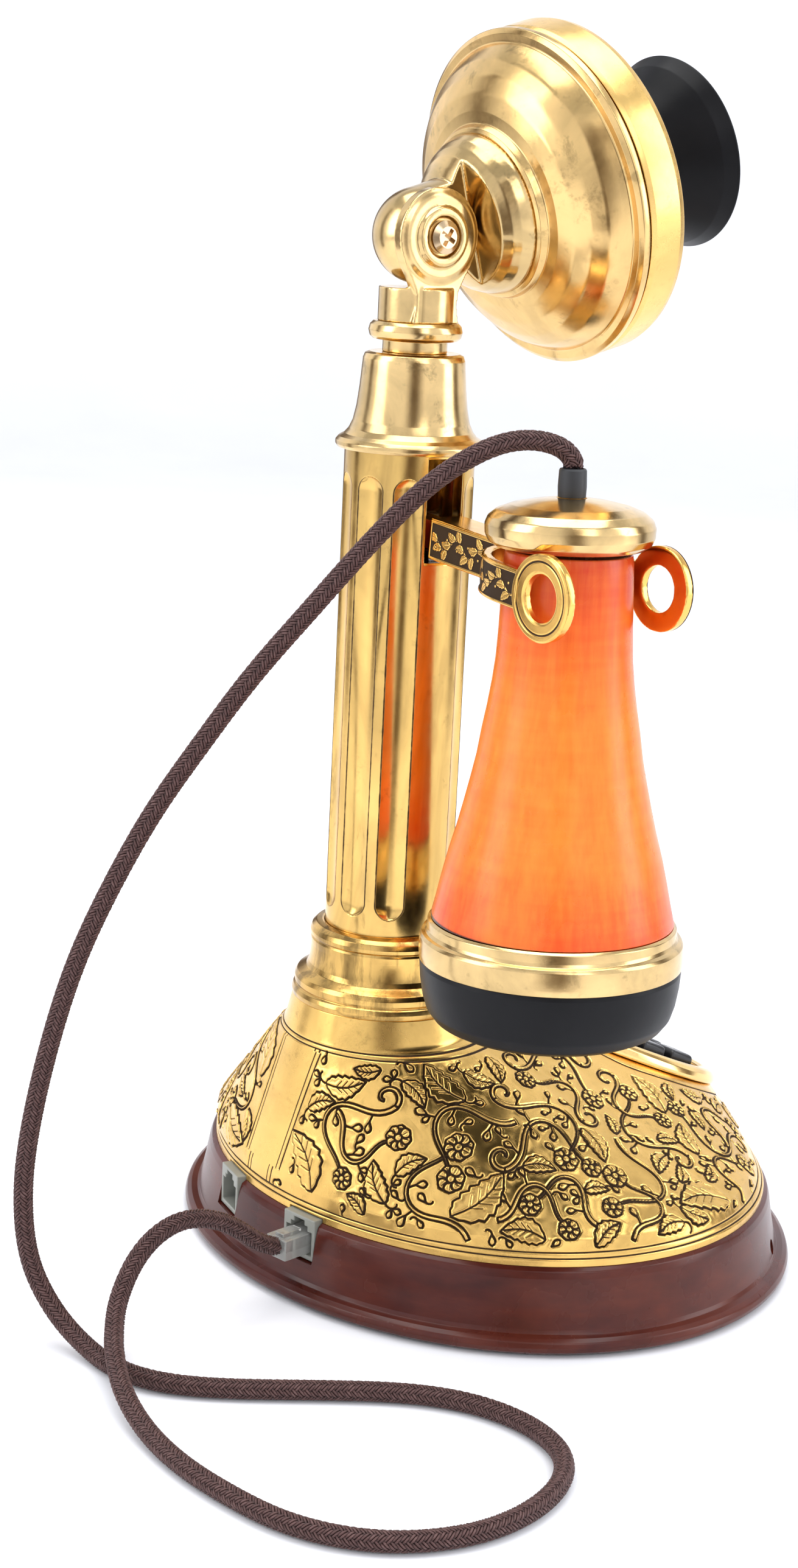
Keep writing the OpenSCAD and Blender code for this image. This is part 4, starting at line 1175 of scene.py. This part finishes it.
RE = Matrix.Translation(Vector((-0.0679, 0.040, 0.204))) @ Matrix.Rotation(math.radians(1.4), 4, "Y")
HANDLE = [
    (4, 8.4), (14.8, 8.4, 0.5), (15.9, 7.6, 0.7), (16.2, 5.5, 2), (16.4, 0, 6), (16.8, -12, 8),
    (17.2, -19, 8), (17.9, -25, 8), (18.9, -31.5, 8), (20.0, -37.5, 8), (21.0, -44, 8), (22.3, -50, 8),
    (23.8, -56.5, 8), (25.4, -63, 8), (27.2, -69.4, 8), (28.8, -76, 8), (30.1, -82, 6), (31.2, -86.6, 0.4),
    (27, -86.6), (27, -82), (12, -60), (4, -40),
]
lathe("receiver_body", HANDLE, handle_material(), "receiver", "receiver_handle", RE, 224)
RCAP = [
    (3.7, 8.5), (16.4, 8.5, 0.5), (18.6, 9.0, 1.4), (20.4, 10.2, 1.2), (21.2, 12.0, 1), (21.3, 14.4, 1.2),
    (20.6, 16.2, 1.4), (18.6, 17.9, 2), (15, 19.3, 4), (10, 20.4, 4), (5.2, 21.1, 0.5), (3.7, 21.2),
]
lathe("receiver_top", RCAP, cast_brass, "receiver", "receiver_cap", RE, 192)
RRING = [
    (28.1, -91), (28.1, -86.7), (31.2, -86.7, 0.2), (31.9, -87.3, 0.4), (32.0, -89.4, 0.4),
    (32.4, -90.2, 0.4), (33.3, -90.6, 0.4), (33.8, -91.4, 0.5), (33.9, -95.6, 0.8), (33.8, -97.4, 0.3),
    (28.1, -97.4),
]
lathe("receiver_band", RRING, cast_brass, "receiver", "receiver_ring", RE, 192)
EAR = [
    (0.01, -106.5), (24, -106.5), (26.4, -104), (26.4, -90), (28, -90), (28, -97.5), (33.4, -97.5, 0.2),
    (33.6, -98.6, 0.4), (33.3, -102.6, 3), (32.6, -107, 3), (31.5, -110.6, 3), (29.4, -113.4, 2),
    (26.4, -114.9, 1.6), (22, -115.2, 1.5), (16, -113.4, 4), (9, -111.2, 4), (0.01, -110.2),
]
lathe("ear_piece", EAR, ear_cap_black, "receiver", "ear_cap", RE, 192)
SLEEVE = [
    (1.7, 21.3), (3.5, 21.3, 0.2), (3.6, 24.0, 3), (3.45, 27.9, 0.25), (3.2, 28.4, 0.25),
    (2.75, 28.4, 0.1), (2.7, 27.4), (1.7, 27.4),
]
lathe("strain_sleeve", SLEEVE, relief_rubber, "receiver", "strain_relief", RE, 64)

# ---- keypad

PAD = pad_matrix()


def pad_ring(name, prof, mat, node):
    """Oval ring round the keypad, from a closed profile (inset, height)."""
    prof = rounded(prof, 0.3, 3, closed=True)
    prof = np.vstack([prof, prof[:1]])
    t = full_turn(256)
    inset, z = prof[:, :1], prof[:, 1:]
    pts = np.stack([(PAD_HALF[0] - inset) * np.cos(t), (PAD_HALF[1] - inset) * np.sin(t), z + 0 * t], 2)
    weld(grid_object(name, placed(pts, PAD), mat, "phone", (node,)).data)


pad_ring("bezel_ring", [(-0.8, -3.9), (-1.0, -2.8, 0.5), (-0.4, -1.4, 0.8), (0.4, -0.5, 0.6),
                        (1.6, 0.0, 0.7), (3.4, -0.1, 0.6), (4.3, -0.8, 0.5), (4.4, -3.9)],
         bezel_brass, "keypad_bezel")

DIGITS = "123456789*0#"
NAMES = {"*": "star", "#": "hash"}
KEY_LOOPS = [
    (5.2, 4.7, 0.5, -5.3), (5.2, 4.7, 0.7, -0.4), (5.15, 4.65, 0.9, 0.6), (4.95, 4.45, 1.0, 1.15),
    (4.6, 4.1, 1.1, 1.45), (4.1, 3.6, 1.1, 1.58), (3.4, 2.9, 1.0, 1.55), (2.0, 1.7, 0.8, 1.48),
    (0.4, 0.3, 0.2, 1.45),
]


def rounded_rect(w, l, r, n=6):
    pts = []
    for cx, cy, a0 in ((w - r, l - r, 0), (r - w, l - r, 90), (r - w, r - l, 180), (w - r, r - l, 270)):
        for k in range(n + 1):
            a = math.radians(a0 + 90 * k / n)
            pts.append((cx + r * math.cos(a), cy + r * math.sin(a)))
    return np.array(pts)


def key_piece(i):
    """A dished key cap and its raised digit."""
    row, col = divmod(i, 3)
    m = PAD @ Matrix.Translation(Vector(((col - 1) * 13.4, (1.5 - row) * 12.4, 0)) * MM)
    rings = [np.c_[rounded_rect(w, l, r), np.full(28, z)] for w, l, r, z in KEY_LOOPS]
    v, f = tube_mesh(np.array(rings))
    name = "key_" + NAMES.get(DIGITS[i], DIGITS[i])
    new_object(name + "_cap", placed(v, m), f, key_black, name + "_body", (name,))
    cu = bpy.data.curves.new(name + "_mark", "FONT")
    cu.body = DIGITS[i]
    cu.size = 0.0052
    cu.extrude = 0.00002
    cu.resolution_u = 4
    cu.align_x = "CENTER"
    cu.align_y = "CENTER"
    text = bpy.data.objects.new("text", cu)
    bpy.context.scene.collection.objects.link(text)
    me = evaluated(text)
    bpy.data.objects.remove(text)
    me.transform(m @ Matrix.Translation((0, 0, 0.00157)))
    add(name + "_digit", me, label_white, name + "_body")


for i in range(12):
    key_piece(i)

# ---- hook

cast_copy("hook_arm", "hook_lever", hook_brass, "hook", 0.32)

HK = Matrix.Translation((0.006, 0.040, 0.2096)) @ Matrix.Rotation(math.radians(-4), 4, "Y")


def strip_drawing(length, width, seed):
    """Flat strip with a raised border and a winding vine; returns height and dark mark."""
    r = np.random.RandomState(seed)
    nu, nv = int(length / 0.13), int(width / 0.13)
    u, v = np.meshgrid(np.linspace(-length / 2, length / 2, nu), np.linspace(-width / 2, width / 2, nv))
    flat = np.stack([u, np.zeros_like(u), v], 2)
    nrm = np.zeros_like(flat)
    nrm[..., 1] = -1
    s = Relief(flat, nrm, np.ones(u.shape, bool), False)
    s.at(nv // 2, nu // 2, length)
    uu = np.linspace(-length / 2 + 1.4, length / 2 - 1.4, 70)
    amp, wave = width * 0.17, 10.5
    stem = np.stack([uu, amp * np.sin(2 * math.pi * uu / wave)], 1)
    draw_band(s, stem, 0.75)
    for q in range(3, 67, 5):
        sign = -1 if math.cos(2 * math.pi * uu[q] / wave + 1.2) > 0 else 1
        a = math.atan2(amp * 2 * math.pi / wave * math.cos(2 * math.pi * uu[q] / wave), 1) + sign * 0.75
        draw_leaf(s, a, width * r.uniform(0.36, 0.44), width * 0.19, 4, -0.25 * sign, stem[q])
    for q in range(5, 66, 12):
        s.shape(0.45 * ring(8) + (stem[q] + [0, -np.sign(stem[q][1] + 1e-6) * width * 0.25]))
    edge = np.minimum(width / 2 - np.abs(v), length / 2 - np.abs(u))
    border = edge < 0.95
    height = np.where(s.fill > 0, 0.26 - 0.10 * np.exp(-(s.line / 0.16) ** 2), 0.03)
    mark = np.where(s.fill > 0, 0.75 * np.exp(-(s.line / 0.16) ** 2), 0.62)
    raised = 0.32 * np.clip(edge / 0.2, -0.3, 1) * np.clip((0.95 - edge) / 0.2, 0.1, 1)
    height = np.where(border, raised, height)
    mark = np.where(border, np.where(edge > 0.72, 0.8, 0), mark)
    return u, v, height, mark


def hook_patch(name, x, y, z, mark, wrap=False):
    grid_object(name, placed(np.stack([x, y, z], 2), HK), hook_brass, "hook",
                wrap=wrap, extra={"line": mark})


ARM_Y, FORK_R, FORK_X, FORK_FLAT = 5.34, 20.0, -71.4, 7.6
EYE_X, EYE_R = -87.6, [5.95, 6.25, 6.7, 8.5, 8.8, 9.1, 9.4, 10.3, 10.75]
EYE_H = [-0.2, 0.05, 0.16, 0.16, 0.0, 0.0, 0.34, 0.34, 0.0]
for tag, sgn in (("l", 1), ("r", -1)):
    u, v, height, mark = strip_drawing(28.6, 10.4, 21 + sgn)
    hook_patch("hook_arm_relief_" + tag, -38.2 + u, sgn * (ARM_Y + height), v, mark)
    u, v, height, mark = strip_drawing(31.0, 9.5, 31 + sgn)
    bend = np.maximum(u + 15.5 - FORK_FLAT, 0) / FORK_R
    x = FORK_X + np.minimum(u + 15.5 - FORK_FLAT, 0) + (FORK_R + height) * np.sin(bend)
    hook_patch("hook_fork_relief_" + tag, x, sgn * (FORK_R + 0.05 + height) * np.cos(bend), v, mark)
    a, r = np.meshgrid(full_turn(200), np.linspace(5.95, 10.75, 44))
    y = sgn * (FORK_R + 0.05 + np.interp(r, EYE_R, EYE_H))
    hook_patch("hook_eye_ring_" + tag, EYE_X + r * np.cos(a), y, r * np.sin(a),
               np.exp(-((r - 8.95) / 0.26) ** 2), True)

# ---- CAD pieces that stay


def keep_cad(node, mat, bevel=0.0):
    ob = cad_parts[node]
    dress(ob.data, mat)
    if bevel:
        w = ob.modifiers.new("weld", "WELD")
        w.merge_threshold = 1e-6
        b = ob.modifiers.new("bevel", "BEVEL")
        b.width = bevel * MM
        b.segments = 3
        b.limit_method = "ANGLE"
        b.angle_limit = math.radians(50)


for node, mat, bevel in (
    ("bottom_plate", black_steel, 0), ("base_felt", felt_material(), 0), ("plate_screws", steel, 0),
    ("ballast", iron, 0.4), ("shell_screws", steel, 0), ("knuckle_screw", screw_metal, 0.25),
    ("knuckle_nut", cast_brass, 0.25),
    ("microphone", aluminium, 0.3), ("keypad_plate", dark_plastic, 0), ("key_mat", mat_grey, 0.2),
    ("keypad_board", board_green, 0.1), ("main_board", board_green, 0.1), ("ringer", dark_plastic, 0.4),
    ("line_jack", jack_plastic, 0.3), ("handset_jack", jack_plastic, 0.3), ("jack_contacts", gold, 0),
    ("hook_pin", steel, 0.15), ("hook_spring", steel, 0.05), ("hook_switch", dark_plastic, 0.2),
    ("switch_plunger", red_plastic, 0.2), ("column_wires", red_plastic, 0), ("earphone", aluminium, 0.3),
    ("plug", clear_plastic(), 0.35),
):
    keep_cad(node, mat, bevel)

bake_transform(cord)

# ---- floor and light


def floor_material():
    """Near white, with a faint glow that grows up the backdrop."""
    m = Surface("floor_white")
    m.set(Base_Color=m.ramp(m.noise(6, 3), (0.3, (0.80, 0.805, 0.83)), (0.7, (0.83, 0.835, 0.86))),
          Roughness=0.8, Emission_Color=(0.98, 0.98, 1.0, 1),
          Emission_Strength=m.span(m.height(), 0.0, 0.5, 0.28))
    return m.mat


def sweep():
    """Floor that curves up into a backdrop on every side, far from the object."""
    bend = [(1.8 + 0.7 * math.sin(a), 0.7 * (1 - math.cos(a))) for a in np.linspace(0.1, math.pi / 2, 14)]
    prof = [(0.0, 0), (0.6, 0), (1.2, 0), (1.8, 0), *bend, (2.5, 2.6)]
    n = 96
    verts, faces = [], [tuple(range(n))]
    for i, (r, z) in enumerate(prof):
        for k in range(n):
            a = 2 * math.pi * k / n
            verts.append(((r + 1e-4) * math.cos(a), 0.04 + (r + 1e-4) * math.sin(a), z))
            if i:
                j, q = (i - 1) * n, (k + 1) % n
                faces.append((j + k, j + q, j + n + q, j + n + k))
    new_object("studio_floor", verts, faces, floor_material())


sweep()

MID = Vector((0, 0.04, 0.14))
AWAY = Vector((back.x, back.y, 0)).normalized()
SIDE = Vector((right.x, right.y, 0)).normalized()


def area(name, forward, across, height, size, size_y, power, colour=(1, 1, 1)):
    """Soft light, placed from the column as the camera sees it."""
    li = bpy.data.lights.new(name, "AREA")
    li.energy = power
    li.shape = "RECTANGLE"
    li.size, li.size_y = size, size_y
    li.color = colour
    ob = bpy.data.objects.new(name, li)
    bpy.context.scene.collection.objects.link(ob)
    ob.location = COL + AWAY * forward + SIDE * across + Vector((0, 0, height))
    ob.rotation_euler = (MID - ob.location).to_track_quat("-Z", "Y").to_euler()


area("light_left", 0.35, -1.15, 0.75, 0.6, 1.2, 7, (1.0, 0.99, 0.97))
area("light_right", 0.15, 1.15, 0.65, 0.5, 1.2, 6, (0.97, 0.98, 1.0))
area("light_top", -0.1, 0.0, 1.6, 1.3, 1.3, 19)
area("light_front", 1.4, 0.5, 1.1, 0.8, 0.8, 5)


def card_material():
    m = Surface("studio_card")
    m.set(Base_Color=m.ramp(m.noise(3, 3), (0.3, (0.075, 0.052, 0.034)), (0.7, (0.11, 0.08, 0.056))),
          Roughness=0.9, Alpha=m.attribute("fade"))
    return m.mat


CARD = card_material()


def card(name, az_mid, az_half, radius, z0, z1, flat=None):
    """Dark studio card that only reflections see; it stands round the object, or lies out to flat."""
    n = 12
    verts = []
    for k in range(n + 1):
        a = math.radians(az_mid - az_half + 2 * az_half * k / n)
        d = Vector((math.sin(a), -math.cos(a), 0))
        verts += [COL + d * radius + Vector((0, 0, z0)), COL + d * (flat or radius) + Vector((0, 0, z1))]
    faces = [(2 * k, 2 * k + 2, 2 * k + 3, 2 * k + 1) for k in range(n)]
    ob = new_object(name, verts, faces, CARD)
    steps = np.arange(n + 1)
    attribute(ob.data, "fade", np.repeat(np.clip(np.minimum(steps, n - steps) / 4.5, 0, 1), 2))
    ob.visible_camera = False
    ob.visible_diffuse = False
    ob.visible_shadow = False
    ob.visible_transmission = False


card("card_front", 238, 20, 1.05, 0.0, 1.1)
card("card_front_floor", 240, 20, 0.42, 0.003, 0.003, 1.05)
card("card_left", 128, 9, 0.75, 0.0, 0.9)
card("card_right", 338, 12, 0.8, 0.0, 0.9)
card("card_back", 70, 14, 1.0, 0.0, 0.9)

world = bpy.data.worlds.new("studio")
bpy.context.scene.world = world
world.use_nodes = True
wnt = world.node_tree
wnt.nodes.clear()
wout = wnt.nodes.new("ShaderNodeOutputWorld")
bg = wnt.nodes.new("ShaderNodeBackground")
bg.inputs["Color"].default_value = (0.92, 0.95, 1.0, 1)
bg.inputs["Strength"].default_value = 0.74
wnt.links.new(bg.outputs[0], wout.inputs[0])
bpy.context.scene.view_settings.view_transform = "Standard"

# ---- finish

bpy.context.view_layer.update()
